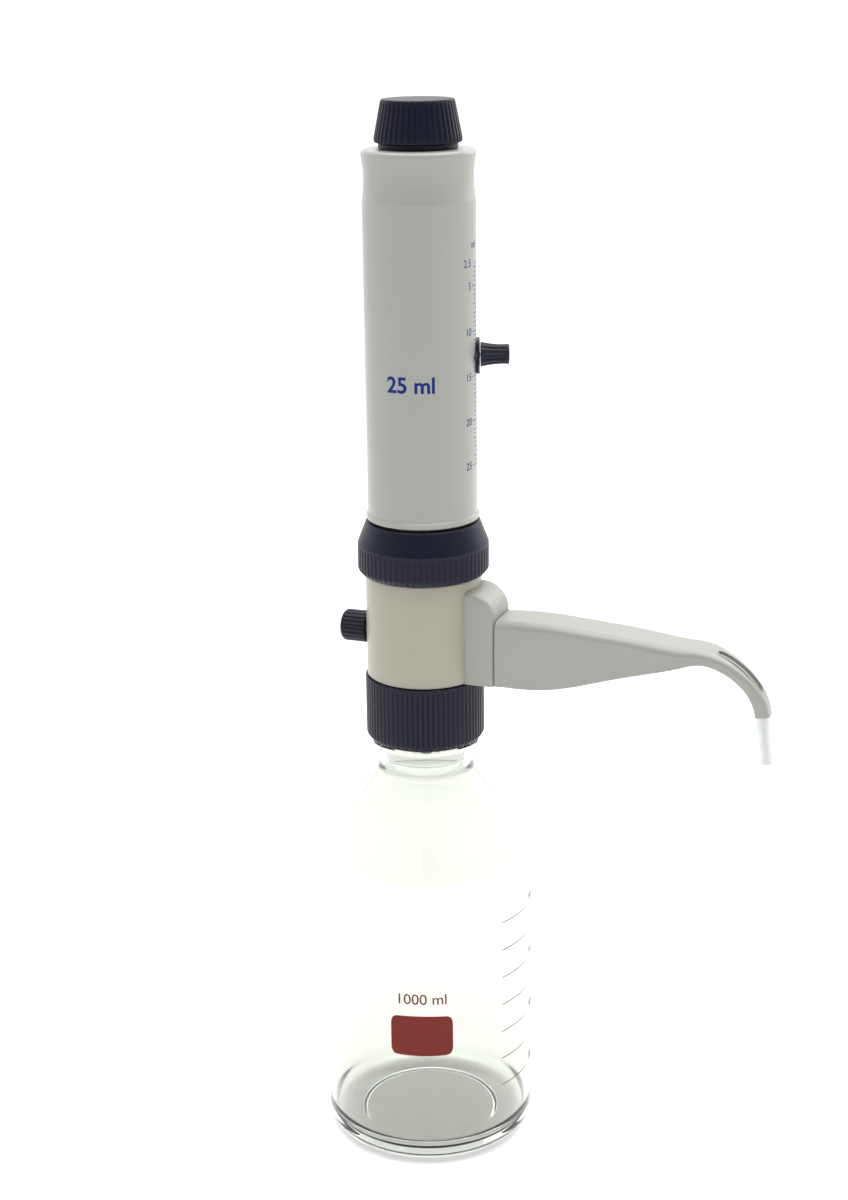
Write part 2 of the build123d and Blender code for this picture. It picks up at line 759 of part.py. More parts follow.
# Nut that holds the tube on the port
with BuildPart() as tube_nut:
    with BuildSketch(along_arm(tube_nut_start, tube_z)):
        RegularPolygon(tube_nut_radius, 6)
    extrude(amount=tube_nut_length)
    with BuildSketch(along_arm(tube_nut_start, tube_z)):
        Circle(port_nipple_radius + running_gap)
    extrude(amount=port_nipple_end + running_gap - tube_nut_start, mode=Mode.SUBTRACT)
    with BuildSketch(along_arm(tube_nut_start, tube_z)):
        Circle(tube_radius + running_gap)
    extrude(amount=tube_nut_length, mode=Mode.SUBTRACT)
finish(tube_nut, "tube_nut")

# Sections of the arm: outward distance, top height, bottom height, half width
hook_centre_z = tube_z - hook_radius
arm_sections = (
    (arm_start, 266.0, 234.8, 12.0),
    (50.0, 266.7, 234.9, 12.0),
    (64.0, 266.5, 236.0, 12.0),
    (88.0, 264.8, 242.3, 11.9),
    (110.0, 262.7, 248.4, 11.5),
    (125.0, 261.2, 252.6, 10.8),
)
# Sections of the hook: angle about its centre, thickness, half width, all about the tube's line
hook_sections = ((76.0, 5.9, 9.6), (60.0, 5.2, 8.2), (45.0, 5.2, 6.9), (hook_turn / 2, 5.9, 5.8))
foot_thickness = 6.9
foot_half_width = 4.8


def arm_section(plane, height, half_width, top_corner, bottom_corner):
    """One cross-section, standing on its lower edge, with round upper corners."""
    with BuildSketch(plane) as section:
        Rectangle(2 * half_width, height, align=(Align.CENTER, Align.MIN))
        fillet(section.vertices().group_by(Axis.Y)[0], bottom_corner)
        fillet(section.vertices().group_by(Axis.Y)[-1], top_corner)
    return section.sketch


def hook_plane(angle, depth, centre_s, centre_z, radius):
    """The plane of a section across the hook, its origin on the inner side."""
    turn = radians(angle)
    inner = radius - depth / 2
    s = centre_s + inner * cos(turn)
    z = centre_z + inner * sin(turn)
    outward = arm_out * cos(turn) + Vector(0, 0, sin(turn))
    return Plane(origin=arm_point(s, z), x_dir=arm_lateral, z_dir=arm_lateral.cross(outward))


hook_end_angle = 90.0 - hook_turn
foot_angle = hook_end_angle - hook_foot_turn
foot_centre_s = hook_centre_s + (hook_radius - hook_foot_radius) * cos(radians(hook_end_angle))
foot_centre_z = hook_centre_z + (hook_radius - hook_foot_radius) * sin(radians(hook_end_angle))
nozzle_s = foot_centre_s + hook_foot_radius * cos(radians(foot_angle))
nozzle_z = foot_centre_z + hook_foot_radius * sin(radians(foot_angle))
nozzle_down = arm_out * sin(radians(foot_angle)) + Vector(0, 0, -cos(radians(foot_angle)))
arm_end_point = arm_point(nozzle_s, nozzle_z) + nozzle_down * hook_tail
nozzle_plane = Plane(origin=arm_end_point, x_dir=arm_lateral, z_dir=nozzle_down)

outer_sections = [
    arm_section(along_arm(s, bottom), top - bottom, half_width, arm_top_corner, arm_bottom_corner)
    for s, top, bottom, half_width in arm_sections
]
outer_sections += [
    arm_section(
        hook_plane(angle, depth, hook_centre_s, hook_centre_z, hook_radius), depth, half_width,
        depth * 0.4, depth * 0.2,
    )
    for angle, depth, half_width in hook_sections
]
foot = hook_plane(foot_angle, foot_thickness, foot_centre_s, foot_centre_z, hook_foot_radius)
foot_end = Plane(origin=foot.origin + nozzle_down * hook_tail, x_dir=foot.x_dir, z_dir=foot.z_dir)
outer_sections.append(
    arm_section(foot_end, foot_thickness, foot_half_width, foot_thickness * 0.35, foot_thickness * 0.3)
)
with BuildPart() as arm_housing:
    loft(sections=outer_sections)
    # Rim and groove on the hook
    for low, high, side, mode in (
        (-groove_depth, groove_rim_height, groove_half_width + groove_rim, Mode.ADD),
        (-groove_depth, 2 * groove_rim_height, groove_half_width, Mode.SUBTRACT),
    ):
        margin = side - groove_half_width
        skin = hook_radius + hook_sections[2][1] / 2
        step = degrees(margin / skin)
        with BuildPart(mode=Mode.PRIVATE) as band:
            with BuildSketch(arm_side):
                with BuildLine():
                    start = radians(groove_end_angle - step)
                    stop = radians(groove_start_angle + step)
                    inner = skin + low
                    outer = skin + high
                    arc_size = groove_start_angle - groove_end_angle + 2 * step
                    CenterArc((hook_centre_s, hook_centre_z), inner, groove_end_angle - step, arc_size)
                    CenterArc((hook_centre_s, hook_centre_z), outer, groove_end_angle - step, arc_size)
                    for angle in (start, stop):
                        Line(
                            (hook_centre_s + inner * cos(angle), hook_centre_z + inner * sin(angle)),
                            (hook_centre_s + outer * cos(angle), hook_centre_z + outer * sin(angle)),
                        )
                make_face()
            extrude(amount=side, both=True)
            ends = band.edges().filter_by(GeomType.LINE).filter_by(lambda e: e.length < high - low + 0.1)
            fillet(ends, side - 0.05)
        add(band.part, mode=mode)
    # Hollow of the straight part, open below and at the seam
    hollow_sections = [
        arm_section(
            along_arm(s, bottom - 1), top - bottom + 1 - arm_wall, half_width - arm_wall,
            arm_top_corner - arm_wall / 2, 0.1,
        )
        for s, top, bottom, half_width in arm_sections[:5]
    ]
    loft(sections=hollow_sections, mode=Mode.SUBTRACT)
    # Bore for the tube
    with BuildLine(arm_side):
        Line((arm_sections[3][0], tube_z), (hook_centre_s, tube_z))
        CenterArc((hook_centre_s, hook_centre_z), hook_radius, 90, -hook_turn)
        CenterArc((foot_centre_s, foot_centre_z), hook_foot_radius, hook_end_angle, -hook_foot_turn)
    with BuildSketch(along_arm(arm_sections[3][0], tube_z)):
        Circle(arm_tube_bore)
    sweep(mode=Mode.SUBTRACT)
    with BuildSketch(nozzle_plane.offset(-nozzle_stem_length)):
        Circle(nozzle_stem_radius)
    extrude(amount=nozzle_stem_length + 1, mode=Mode.SUBTRACT)
finish(arm_housing, "arm_housing")

# Cover let into the arm from below
with BuildPart() as arm_bottom_cover:
    cover_sections = [
        arm_section(along_arm(s, bottom + 0.1), cover_thickness, half_width - arm_wall - seat_gap, 0.2, 0.2)
        for s, top, bottom, half_width in arm_sections[:5]
    ]
    loft(sections=cover_sections)
finish(arm_bottom_cover, "arm_bottom_cover")

# Discharge tube, from the outlet valve to the nozzle
with BuildPart() as discharge_tube:
    with BuildLine(arm_side):
        Line((branch_reach, tube_z), (hook_centre_s, tube_z))
        CenterArc((hook_centre_s, hook_centre_z), hook_radius, 90, -hook_turn)
        CenterArc((foot_centre_s, foot_centre_z), hook_foot_radius, hook_end_angle, -hook_foot_turn + 14)
    with BuildSketch(along_arm(branch_reach, tube_z)):
        Circle(tube_radius)
        Circle(tube_bore, mode=Mode.SUBTRACT)
    sweep()
finish(discharge_tube, "discharge_tube")

# Conical nozzle
with BuildPart() as discharge_nozzle:
    with BuildSketch(Plane(origin=arm_end_point, x_dir=arm_lateral, z_dir=nozzle_down.cross(arm_lateral))):
        with BuildLine():
            Polyline(
                (0, nozzle_stem_length - running_gap),
                (nozzle_stem_radius - running_gap, nozzle_stem_length - running_gap),
                (nozzle_stem_radius - running_gap, -running_gap),
                (nozzle_top_radius, -running_gap),
                (nozzle_tip_radius, nozzle_tip_length - nozzle_length),
                (nozzle_tip_radius, nozzle_end_edge - nozzle_length),
                (nozzle_tip_radius - nozzle_end_edge, -nozzle_length),
                (0, -nozzle_length),
                (0, nozzle_stem_length - running_gap),
            )
        make_face()
    revolve(axis=Axis(arm_end_point, nozzle_down))
    with BuildSketch(nozzle_plane.offset(-nozzle_stem_length)):
        Circle(nozzle_bore)
    extrude(amount=nozzle_stem_length + nozzle_length, mode=Mode.SUBTRACT)
finish(discharge_nozzle, "discharge_nozzle")

# Gasket and glass of the measuring cylinder
cylinder_gasket = ring(cylinder_bore_radius + 0.2, cylinder_radius, cylinder_seat_z, cylinder_bottom_z)
finish(cylinder_gasket, "cylinder_gasket")
glass_cylinder = ring(cylinder_bore_radius, cylinder_radius, cylinder_bottom_z, cylinder_top_z)
finish(glass_cylinder, "glass_cylinder")
cylinder_centering_ring = ring(
    cylinder_radius + running_gap, guide_bore_radius - running_gap, cylinder_top_z - centering_ring_height, cylinder_top_z
)
finish(cylinder_centering_ring, "cylinder_centering_ring")

# Guide sleeve, slotted for the pointer's latch
with BuildPart() as guide_sleeve:
    with BuildSketch(Plane.XY.offset(spigot_top_z)):
        Circle(guide_flange_radius)
    extrude(amount=guide_flange_thickness)
    with BuildSketch(Plane.XY.offset(guide_flange_top_z)):
        Circle(guide_radius)
    extrude(amount=guide_height)
    with BuildSketch(Plane.XY.offset(guide_flange_top_z)):
        Circle(guide_bore_radius)
    extrude(amount=guide_height, mode=Mode.SUBTRACT)
    with BuildSketch(Plane.XY.offset(spigot_top_z)):
        Circle(cylinder_radius + seat_gap)
    extrude(amount=guide_flange_thickness, mode=Mode.SUBTRACT)
    with BuildSketch(Plane.XY.offset(guide_flange_top_z + guide_slot_foot)):
        with Locations((guide_radius, 0)):
            Rectangle(4 * guide_wall, guide_slot_width)
    extrude(amount=guide_height, mode=Mode.SUBTRACT)
finish(guide_sleeve, "guide_sleeve")

# Split ring at the top of the guide
with BuildPart() as upper_slide_ring:
    with BuildSketch(Plane.XY.offset(guide_top_z - slide_ring_height - 1)):
        Circle(sleeve_bore_radius - body_gap)
        Circle(guide_radius + running_gap, mode=Mode.SUBTRACT)
        with Locations((guide_radius, 0)):
            Rectangle(
                guide_radius, 2 * guide_radius * tan(radians(slide_ring_window / 2)), mode=Mode.SUBTRACT
            )
    extrude(amount=slide_ring_height)
finish(upper_slide_ring, "upper_slide_ring")

# Ribbed nut that clamps the guide on the spigot
with BuildPart() as clamp_nut:
    with BuildSketch(Plane.XZ):
        with BuildLine():
            Polyline(
                (0, nut_bottom_z),
                (nut_radius - nut_edge_radius, nut_bottom_z),
            )
            CenterArc((nut_radius - nut_edge_radius, nut_bottom_z + nut_edge_radius), nut_edge_radius, -90, 90)
            Polyline(
                (nut_radius, nut_bottom_z + nut_edge_radius),
                (nut_radius, nut_top_z - nut_cone_height),
                (nut_cone_top_radius, nut_top_z),
                (0, nut_top_z),
                (0, nut_bottom_z),
            )
        make_face()
    revolve(axis=Axis.Z)
    add(
        groove_cutters(nut_radius, nut_rib_count, nut_rib_depth, nut_rib_width, nut_bottom_z - 1, nut_top_z),
        mode=Mode.SUBTRACT,
    )
    nut_shoulder_z = guide_flange_top_z + body_gap
    with BuildSketch(Plane.XY.offset(nut_bottom_z)):
        Circle(spigot_radius + body_gap)
    extrude(amount=nut_shoulder_z - nut_bottom_z, mode=Mode.SUBTRACT)
    with BuildSketch(Plane.XY.offset(nut_bottom_z)):
        Circle(guide_radius + body_gap)
    extrude(amount=nut_height, mode=Mode.SUBTRACT)
finish(clamp_nut, "clamp_nut")

# Grip sleeve
with BuildPart() as grip_sleeve:
    with BuildSketch(Plane.XZ):
        with BuildLine():
            Polyline(
                (0, sleeve_bottom_z),
                (sleeve_lip_radius, sleeve_bottom_z),
                (sleeve_lip_radius, sleeve_bottom_z + sleeve_lip_height),
                (sleeve_radius, sleeve_bottom_z + 1.4 * sleeve_lip_height),
                (sleeve_radius, waist_line_z),
            )
            ThreePointArc(
                (sleeve_radius, waist_line_z),
                (finger_waist_radius, finger_waist_z),
                (sleeve_rim_radius, sleeve_top_z - sleeve_rim_height),
            )
            Polyline(
                (sleeve_rim_radius, sleeve_top_z - sleeve_rim_height),
                (sleeve_rim_radius, sleeve_top_z),
                (0, sleeve_top_z),
                (0, sleeve_bottom_z),
            )
        make_face()
    revolve(axis=Axis.Z)
    fillet(grip_sleeve.faces().sort_by(Axis.Z)[-1].edges(), sleeve_rim_edge)
    fillet(grip_sleeve.faces().sort_by(Axis.Z)[0].edges(), 0.7)
    with BuildSketch(Plane.XY.offset(sleeve_bottom_z)):
        Circle(sleeve_bore_radius)
    extrude(amount=sleeve_top_z - sleeve_top_thickness - sleeve_bottom_z, mode=Mode.SUBTRACT)
    with BuildSketch(Plane.XY.offset(sleeve_bottom_z)):
        Circle(rod_radius + running_gap)
    extrude(amount=sleeve_top_z - sleeve_bottom_z, mode=Mode.SUBTRACT)
    slot_length = slot_high_z - slot_low_z + 2 * slot_margin
    with BuildSketch(Plane.YZ):
        with Locations((0, (slot_high_z + slot_low_z) / 2)):
            SlotOverall(slot_length, slot_width, rotation=90)
    extrude(amount=2 * sleeve_radius, mode=Mode.SUBTRACT)
finish(grip_sleeve, "grip_sleeve")

# Ring inside the sleeve's lower end
lower_ring_z = sleeve_bottom_z + 1
lower_slide_ring = ring(
    guide_radius + body_gap, sleeve_bore_radius - running_gap, lower_ring_z, lower_ring_z + slide_ring_height
)
finish(lower_slide_ring, "lower_slide_ring")

# Toothed rack behind the slot
rack_margin = stem_height / 2 + 1.5
rack_turn = 2 * degrees(asin(rack_half_width / rack_inner_radius))
rack_outer_radius = sleeve_bore_radius - running_gap
tooth_step = rack_step_ml * mm_per_ml
tooth_count = round((slot_high_z - slot_low_z) / tooth_step)
with BuildPart() as toothed_rack:
    rack_start = radians(-rack_turn / 2)
    rack_plane = Plane(
        origin=(0, 0, 0), x_dir=(cos(rack_start), sin(rack_start), 0), z_dir=(sin(rack_start), -cos(rack_start), 0)
    )
    with BuildSketch(rack_plane):
        with Locations(((rack_inner_radius + rack_outer_radius) / 2, (slot_high_z + slot_low_z) / 2)):
            Rectangle(rack_outer_radius - rack_inner_radius, slot_high_z - slot_low_z + 2 * rack_margin + 4)
    revolve(axis=Axis.Z, revolution_arc=rack_turn)
    with BuildSketch(Plane.YZ):
        with Locations((0, (slot_high_z + slot_low_z) / 2)):
            Rectangle(rack_window_width, slot_high_z - slot_low_z + 2 * rack_margin)
    extrude(amount=2 * sleeve_radius, mode=Mode.SUBTRACT)
    with BuildSketch(Plane.YZ):
        with Locations((rack_window_width / 2, (slot_high_z + slot_low_z) / 2)):
            with GridLocations(1, tooth_step, 1, tooth_count + 1):
                Polygon(
                    (-0.3, -rack_tooth_width / 2), (-0.3, rack_tooth_width / 2), (rack_tooth_depth, 0), align=None
                )
    extrude(amount=2 * sleeve_radius, mode=Mode.SUBTRACT)
finish(toothed_rack, "toothed_rack")

# Piston rod, from the piston to the top knob
piston_bottom_z = cylinder_seat_z + piston_floor_gap + cylinder_gasket_thickness
piston_top_z = piston_bottom_z + piston_height
rod_bottom_z = piston_top_z - rod_socket_depth
rod_top_z = cap_bottom_z + cap_rod_reach
with BuildPart() as piston_rod:
    with BuildSketch(Plane.XY.offset(rod_bottom_z)):
        Circle(rod_radius)
    extrude(amount=rod_top_z - rod_bottom_z)
    chamfer(piston_rod.edges(), 0.5)
finish(piston_rod, "piston_rod")

# Piston with its two seals
with BuildPart() as piston_head:
    with BuildSketch(Plane.XY.offset(piston_bottom_z)):
        Circle(piston_radius)
    extrude(amount=piston_height)
    chamfer(piston_head.edges(), 0.4)
    with BuildSketch(Plane.XY.offset(rod_bottom_z - running_gap)):
        Circle(rod_radius + running_gap)
    extrude(amount=rod_socket_depth + 1, mode=Mode.SUBTRACT)
    for place in piston_seal_places:
        with BuildSketch(Plane.XY.offset(piston_bottom_z + place)):
            Circle(piston_radius + 1)
            Circle(piston_radius - piston_seal_depth, mode=Mode.SUBTRACT)
        extrude(amount=piston_seal_height, mode=Mode.SUBTRACT)
finish(piston_head, "piston_head")

for place, name in zip(piston_seal_places, ("piston_seal_lower", "piston_seal_upper")):
    low = piston_bottom_z + place + running_gap
    with BuildPart() as piston_seal:
        with BuildSketch(Plane.XZ):
            inner = piston_radius - piston_seal_depth + running_gap
            outer = cylinder_bore_radius - running_gap
            high = low + piston_seal_height - 2 * running_gap
            Polygon(
                (inner, low), (piston_radius, low), (outer, (low + high) / 2), (piston_radius, high), (inner, high),
                align=None,
            )
        revolve(axis=Axis.Z)
    finish(piston_seal, name)

# Nut under the sleeve's top, which sets the piston's height
calibration_top_z = sleeve_top_z - sleeve_top_thickness - seat_gap
with BuildPart() as calibration_nut:
    with BuildSketch(Plane.XY.offset(calibration_top_z - calibration_nut_height)):
        RegularPolygon(calibration_nut_radius, 12)
        Circle(rod_radius + running_gap, mode=Mode.SUBTRACT)
    extrude(amount=calibration_nut_height)
finish(calibration_nut, "calibration_nut")

# Pointer: a curved plate outside the slot, with a stem through it
with BuildPart() as pointer_slider:
    plate_inner = sleeve_radius + body_gap
    with BuildSketch(Plane.XY.offset(pointer_z - pointer_plate_down)):
        Circle(pointer_plate_radius)
        Circle(plate_inner, mode=Mode.SUBTRACT)
    extrude(amount=pointer_plate_down + pointer_plate_up)
    with BuildSketch(Plane.YZ):
        plate_mid_z = pointer_z + (pointer_plate_up - pointer_plate_down) / 2
        with Locations((0, plate_mid_z)):
            RectangleRounded(
                2 * pointer_plate_half_width, pointer_plate_up + pointer_plate_down, 0.45 * pointer_plate_half_width
            )
        Polygon(
            (-pointer_plate_half_width + 0.5, pointer_z - pointer_tip_height / 2),
            (-pointer_plate_half_width - pointer_tip_length, pointer_z),
            (-pointer_plate_half_width + 0.5, pointer_z + pointer_tip_height / 2),
            align=None,
        )
    extrude(amount=2 * sleeve_radius, mode=Mode.INTERSECT)
    stem_inner = rack_inner_radius - body_gap
    with BuildSketch(Plane.YZ.offset(stem_inner)):
        with Locations((0, pointer_z)):
            Rectangle(stem_width, stem_height)
    extrude(amount=pointer_plate_radius - 0.5 - stem_inner)
    with BuildSketch(Plane.YZ.offset(stem_inner - 1)):
        with Locations((0, pointer_z)):
            Circle(clamp_screw_radius + running_gap)
    extrude(amount=sleeve_radius, mode=Mode.SUBTRACT)
finish(pointer_slider, "pointer_slider")

# Latch behind the rack, drawn out by the screw
latch_outer = stem_inner - seat_gap
with BuildPart() as rack_latch:
    with BuildSketch(Plane.YZ.offset(latch_outer - latch_thickness)):
        with Locations((0, pointer_z)):
            Rectangle(latch_width, latch_height)
            Circle(clamp_screw_radius + running_gap, mode=Mode.SUBTRACT)
    extrude(amount=latch_thickness)
finish(rack_latch, "rack_latch")

# Screw of the volume knob
screw_start = latch_outer - latch_thickness + 0.1
with BuildPart() as clamp_screw:
    with BuildSketch(Plane.YZ.offset(screw_start)):
        with Locations((0, pointer_z)):
            Circle(clamp_screw_radius)
    extrude(amount=knob_end - clamp_screw_tail - knob_end_edge - screw_start)
    chamfer(clamp_screw.edges(), 0.2)
finish(clamp_screw, "clamp_screw")

# Volume knob: waisted and fluted
with BuildPart() as volume_knob:
    neck_x = knob_start + knob_neck_share * (knob_end - knob_start)
    with BuildSketch(Plane.XY.offset(pointer_z)):
        with BuildLine():
            Polyline((knob_start, 0), (knob_start, knob_base_radius))
            ThreePointArc(
                (knob_start, knob_base_radius),
                (neck_x, knob_neck_radius + 0.1),
                (knob_end, knob_end_radius),
            )
            Polyline((knob_end, knob_end_radius), (knob_end, 0), (knob_start, 0))
        make_face()
    revolve(axis=Axis((0, 0, pointer_z), (1, 0, 0)))
    fillet(volume_knob.faces().sort_by(Axis.X)[-1].edges(), knob_end_edge)
    for index in range(knob_flute_count):
        turn = radians(360 * index / knob_flute_count)
        flute_plane = Plane(origin=(0, 0, pointer_z), x_dir=(1, 0, 0), z_dir=(0, sin(turn), cos(turn)))
        with BuildLine(flute_plane):
            ThreePointArc(
                (knob_start - 0.5, knob_base_radius + knob_flute_rise),
                (neck_x, knob_neck_radius + 0.1 + knob_flute_rise),
                (knob_end + 0.5, knob_end_radius + knob_flute_rise),
            )
        with BuildSketch(Plane(origin=flute_plane.from_local_coords((knob_start - 0.5, knob_base_radius + knob_flute_rise, 0)), z_dir=(1, 0, 0))):
            Circle(knob_flute_radius)
        sweep(mode=Mode.SUBTRACT)
    with BuildSketch(Plane.YZ.offset(knob_start)):
        with Locations((0, pointer_z)):
            Circle(clamp_screw_radius + running_gap)
    extrude(amount=knob_end - clamp_screw_tail - knob_end_edge + running_gap - knob_start, mode=Mode.SUBTRACT)
finish(volume_knob, "volume_knob")

# Ribbed knob on the top, hollow below, with a boss for the rod
with BuildPart() as top_knob:
    band_top_z = cap_bottom_z + cap_neck_height + cap_band_height
    with BuildSketch(Plane.XZ):
        with BuildLine():
            Polyline(
                (0, cap_bottom_z),
                (cap_neck_radius, cap_bottom_z),
                (cap_neck_radius, cap_bottom_z + cap_neck_height),
                (cap_wide_radius, cap_bottom_z + 1.3 * cap_neck_height),
                (cap_wide_radius, band_top_z),
                (cap_top_radius, cap_top_z),
                (0, cap_top_z),
                (0, cap_bottom_z),
            )
        make_face()
    revolve(axis=Axis.Z)
    chamfer(top_knob.faces().sort_by(Axis.Z)[-1].edges(), cap_edge)
    rib_lean = degrees(asin((cap_wide_radius - cap_top_radius) / (cap_top_z - band_top_z)))
    with BuildPart(mode=Mode.PRIVATE) as cap_grooves:
        for index in range(cap_rib_count):
            turn = 360 * index / cap_rib_count
            c = cos(radians(turn))
            d = sin(radians(turn))
            for radius, z in ((cap_wide_radius, band_top_z), (cap_top_radius, cap_top_z)):
                with BuildSketch(Plane(origin=(radius * c, radius * d, z), x_dir=(c, d, 0), z_dir=(0, 0, 1))):
                    Polygon((0.5, -cap_rib_width / 2), (0.5, cap_rib_width / 2), (-cap_rib_depth, 0), align=None)
            loft()
    add(cap_grooves.part, mode=Mode.SUBTRACT)
    with BuildSketch(Plane.XY.offset(cap_bottom_z)):
        Circle(cap_hollow_radius)
        Circle(cap_boss_radius, mode=Mode.SUBTRACT)
    extrude(amount=cap_hollow_height, mode=Mode.SUBTRACT)
    with BuildSketch(Plane.XY.offset(cap_bottom_z)):
        Circle(rod_radius + running_gap)
    extrude(amount=cap_rod_reach + seat_gap, mode=Mode.SUBTRACT)
finish(top_knob, "top_knob")

print("stroke", round(full_stroke, 3), "pointer", round(pointer_z, 3), "low", round(slot_low_z, 3),
      "high", round(slot_high_z, 3))
print("nozzle end", arm_end_point + nozzle_down * nozzle_length, "axis", nozzle_down)
print("nipple", round(nipple_bottom_z, 3), round(flange_bottom_z, 3), "purge", round(purge_z, 3))
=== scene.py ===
import json
from math import cos, hypot, pi, radians, sin, sqrt, tan

import bmesh
import bpy
from mathutils import Matrix, Vector


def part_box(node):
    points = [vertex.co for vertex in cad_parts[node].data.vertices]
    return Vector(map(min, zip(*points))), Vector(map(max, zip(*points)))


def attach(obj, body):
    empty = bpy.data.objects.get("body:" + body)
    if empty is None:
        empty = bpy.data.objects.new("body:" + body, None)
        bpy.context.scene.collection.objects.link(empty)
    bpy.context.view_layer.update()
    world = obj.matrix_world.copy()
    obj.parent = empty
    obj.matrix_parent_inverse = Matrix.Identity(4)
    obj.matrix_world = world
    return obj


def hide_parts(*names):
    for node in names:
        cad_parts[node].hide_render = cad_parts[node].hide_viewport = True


bl_info = {
    "name": "Bottle-top dispenser",
    "version": (1, 0, 0),
    "blender": (4, 5, 0),
    "location": "View3D > Sidebar > Dispenser",
    "description": "Gives the bottle-top dispenser its glass, ribs, plastics and printed scales",
    "category": "Object",
}

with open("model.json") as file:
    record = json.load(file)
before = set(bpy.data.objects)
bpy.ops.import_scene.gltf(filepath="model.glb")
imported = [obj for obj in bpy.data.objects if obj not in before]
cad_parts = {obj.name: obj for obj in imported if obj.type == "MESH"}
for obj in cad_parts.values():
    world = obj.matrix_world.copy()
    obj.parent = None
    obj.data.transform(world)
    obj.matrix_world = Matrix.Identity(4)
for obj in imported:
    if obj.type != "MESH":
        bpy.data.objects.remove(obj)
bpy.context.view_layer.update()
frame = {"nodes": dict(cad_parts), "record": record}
MM = 0.001

# Fixed sizes, in millimetres and degrees
BOTTLE_RADIUS = 50.5
BOTTLE_HEIGHT = 225.0
BASE_RISE = 2.4
HEEL_RADIUS = 9.5
SHOULDER_CENTRE = (10.5, 137.0)
SHOULDER_SLOPE = 35.8
NECK_RADIUS = 22.9
NECK_BORE = 17.5
BEAD_RADIUS = 25.2
RIM_RADIUS = 21.0
THREAD_RADIUS = 21.1
THREAD_FOOT = 208.6
THREAD_CREST = 1.2
THREAD_TURNS = 2.75
SLEEVE_RADIUS = 25.25
PURGE_AZIMUTH = 159.5
RIBBED_CREASE = 50
GLASS_CREASE = 60

# Places and sizes of the prints, in millimetres and degrees
FIELD_AZIMUTH = -94.2
FIELD_MIDDLE = 69.7
FIELD_CORNER = 3.2
FIELD_BOW = 0.35
BOTTLE_CAPACITY_MIDDLE = 88.6
BOTTLE_CAPACITY_HEIGHT = 5.3
LINE_END = -8.0
LINE_LENGTH = 34.0
LINE_STROKE = 0.42
LABEL_AZIMUTH = -13.0
LABEL_RISE = 2.6
LABEL_HEIGHT = 3.2
SCALE_END = -11.5
SCALE_STROKE = 0.36
DIGIT_AZIMUTH = -27.0
UNIT_AZIMUTH = -21.0
UNIT_DROP = 2.2
SLEEVE_CAPACITY_AZIMUTH = -101.0
SLEEVE_CAPACITY_MIDDLE = 375.6

# Fixed volumes, in millilitres
BOTTLE_LINES = 7
LOWEST_LINE_VOLUME = 200
LINE_VOLUME = 100
FULL_VOLUME = 25
LEAST_VOLUME = 2.5
STROKES_PER_MILLILITRE = 2

# Limits of the meshes in millimetres, and two in metres
ON_AXIS = 1e-6
TEXT_WELD = 1e-4
CUT_WELD = 1e-5
TEXT_STRIP = 0.6
WELD_METRES = 1e-7
LEAST_RADIUS_METRES = 1e-6

# Shares: a capital's of its font size, an arc's of a side, and the thread's run-out
CAPITAL_SHARE = 0.7
SIDE_SHARE = 0.49
RUN_OUT = 0.06
RUN_OUT_SIZE = 0.1

# The photograph's camera, found from the bottle's width and the ellipses of its rims.
# Its place is in metres and its sensor in millimetres
FOCAL_PIXELS = 2090.4
PHOTO_HEIGHT_PIXELS = 1200.0
SENSOR = 36.0
CAMERA_PLACE = (0, -0.93139, 0.55836)
CAMERA_PITCH = 17.2226
CAMERA_ROLL = -0.7429

# Each light's name, place, width, power in watts and aim, with lengths in metres
LIGHTS = (
    ("overhead", (0.1, 0.0, 1.5), 1.6, 25.0, (0.02, 0, 0.25)),
    ("front_left", (-1.1, -1.3, 0.9), 1.0, 0.5, (0, 0, 0.28)),
    ("back_right", (1.2, 1.0, 0.9), 0.9, 4.0, (0, 0, 0.28)),
)


def node_box(name):
    """A CAD node's low and high corners in millimetres."""
    low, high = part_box(name)
    return low / MM, high / MM


def distance(name, description, default):
    """A length in millimetres that the user may change."""
    return bpy.props.FloatProperty(name=name, description=description, default=default, min=0.0)


def rib_number(name, description, default):
    """A number of ribs that the user may change."""
    return bpy.props.IntProperty(name=name, description=description, default=default, min=3)


def colour(name, description, default):
    """A linear colour that the user may change."""
    return bpy.props.FloatVectorProperty(
        name=name, description=description, default=default, size=3, subtype="COLOR", min=0.0, max=1.0
    )


class PlasticColours(bpy.types.PropertyGroup):
    navy: colour("Navy", "Colour of the knobs, the collar and the clamp nut", (0.0060, 0.0070, 0.0165))
    sleeve: colour("Sleeve", "Colour of the grip sleeve", (0.318, 0.327, 0.292))
    arm: colour("Arm", "Colour of the arm and its root cover", (0.318, 0.325, 0.290))
    block: colour("Block", "Colour of the valve block", (0.350, 0.326, 0.258))
    blue_ink: colour("Blue ink", "Colour of the sleeve's scale", (0.006, 0.016, 0.17))
    brown_ink: colour("Brown ink", "Colour of the bottle's print", (0.175, 0.018, 0.011))


class RibSizes(bpy.types.PropertyGroup):
    collar_ribs: rib_number("Collar ribs", "Ribs round the neck collar", 72)
    nut_ribs: rib_number("Nut ribs", "Ribs round the clamp nut", 68)
    cap_ribs: rib_number("Cap ribs", "Ribs round the top knob", 44)
    purge_ribs: rib_number("Purge ribs", "Ribs round the purge knob", 20)
    flutes: rib_number("Flutes", "Flutes round the volume knob", 12)
    groove_depth: distance("Groove depth", "Depth of the grooves between two ribs", 0.55)


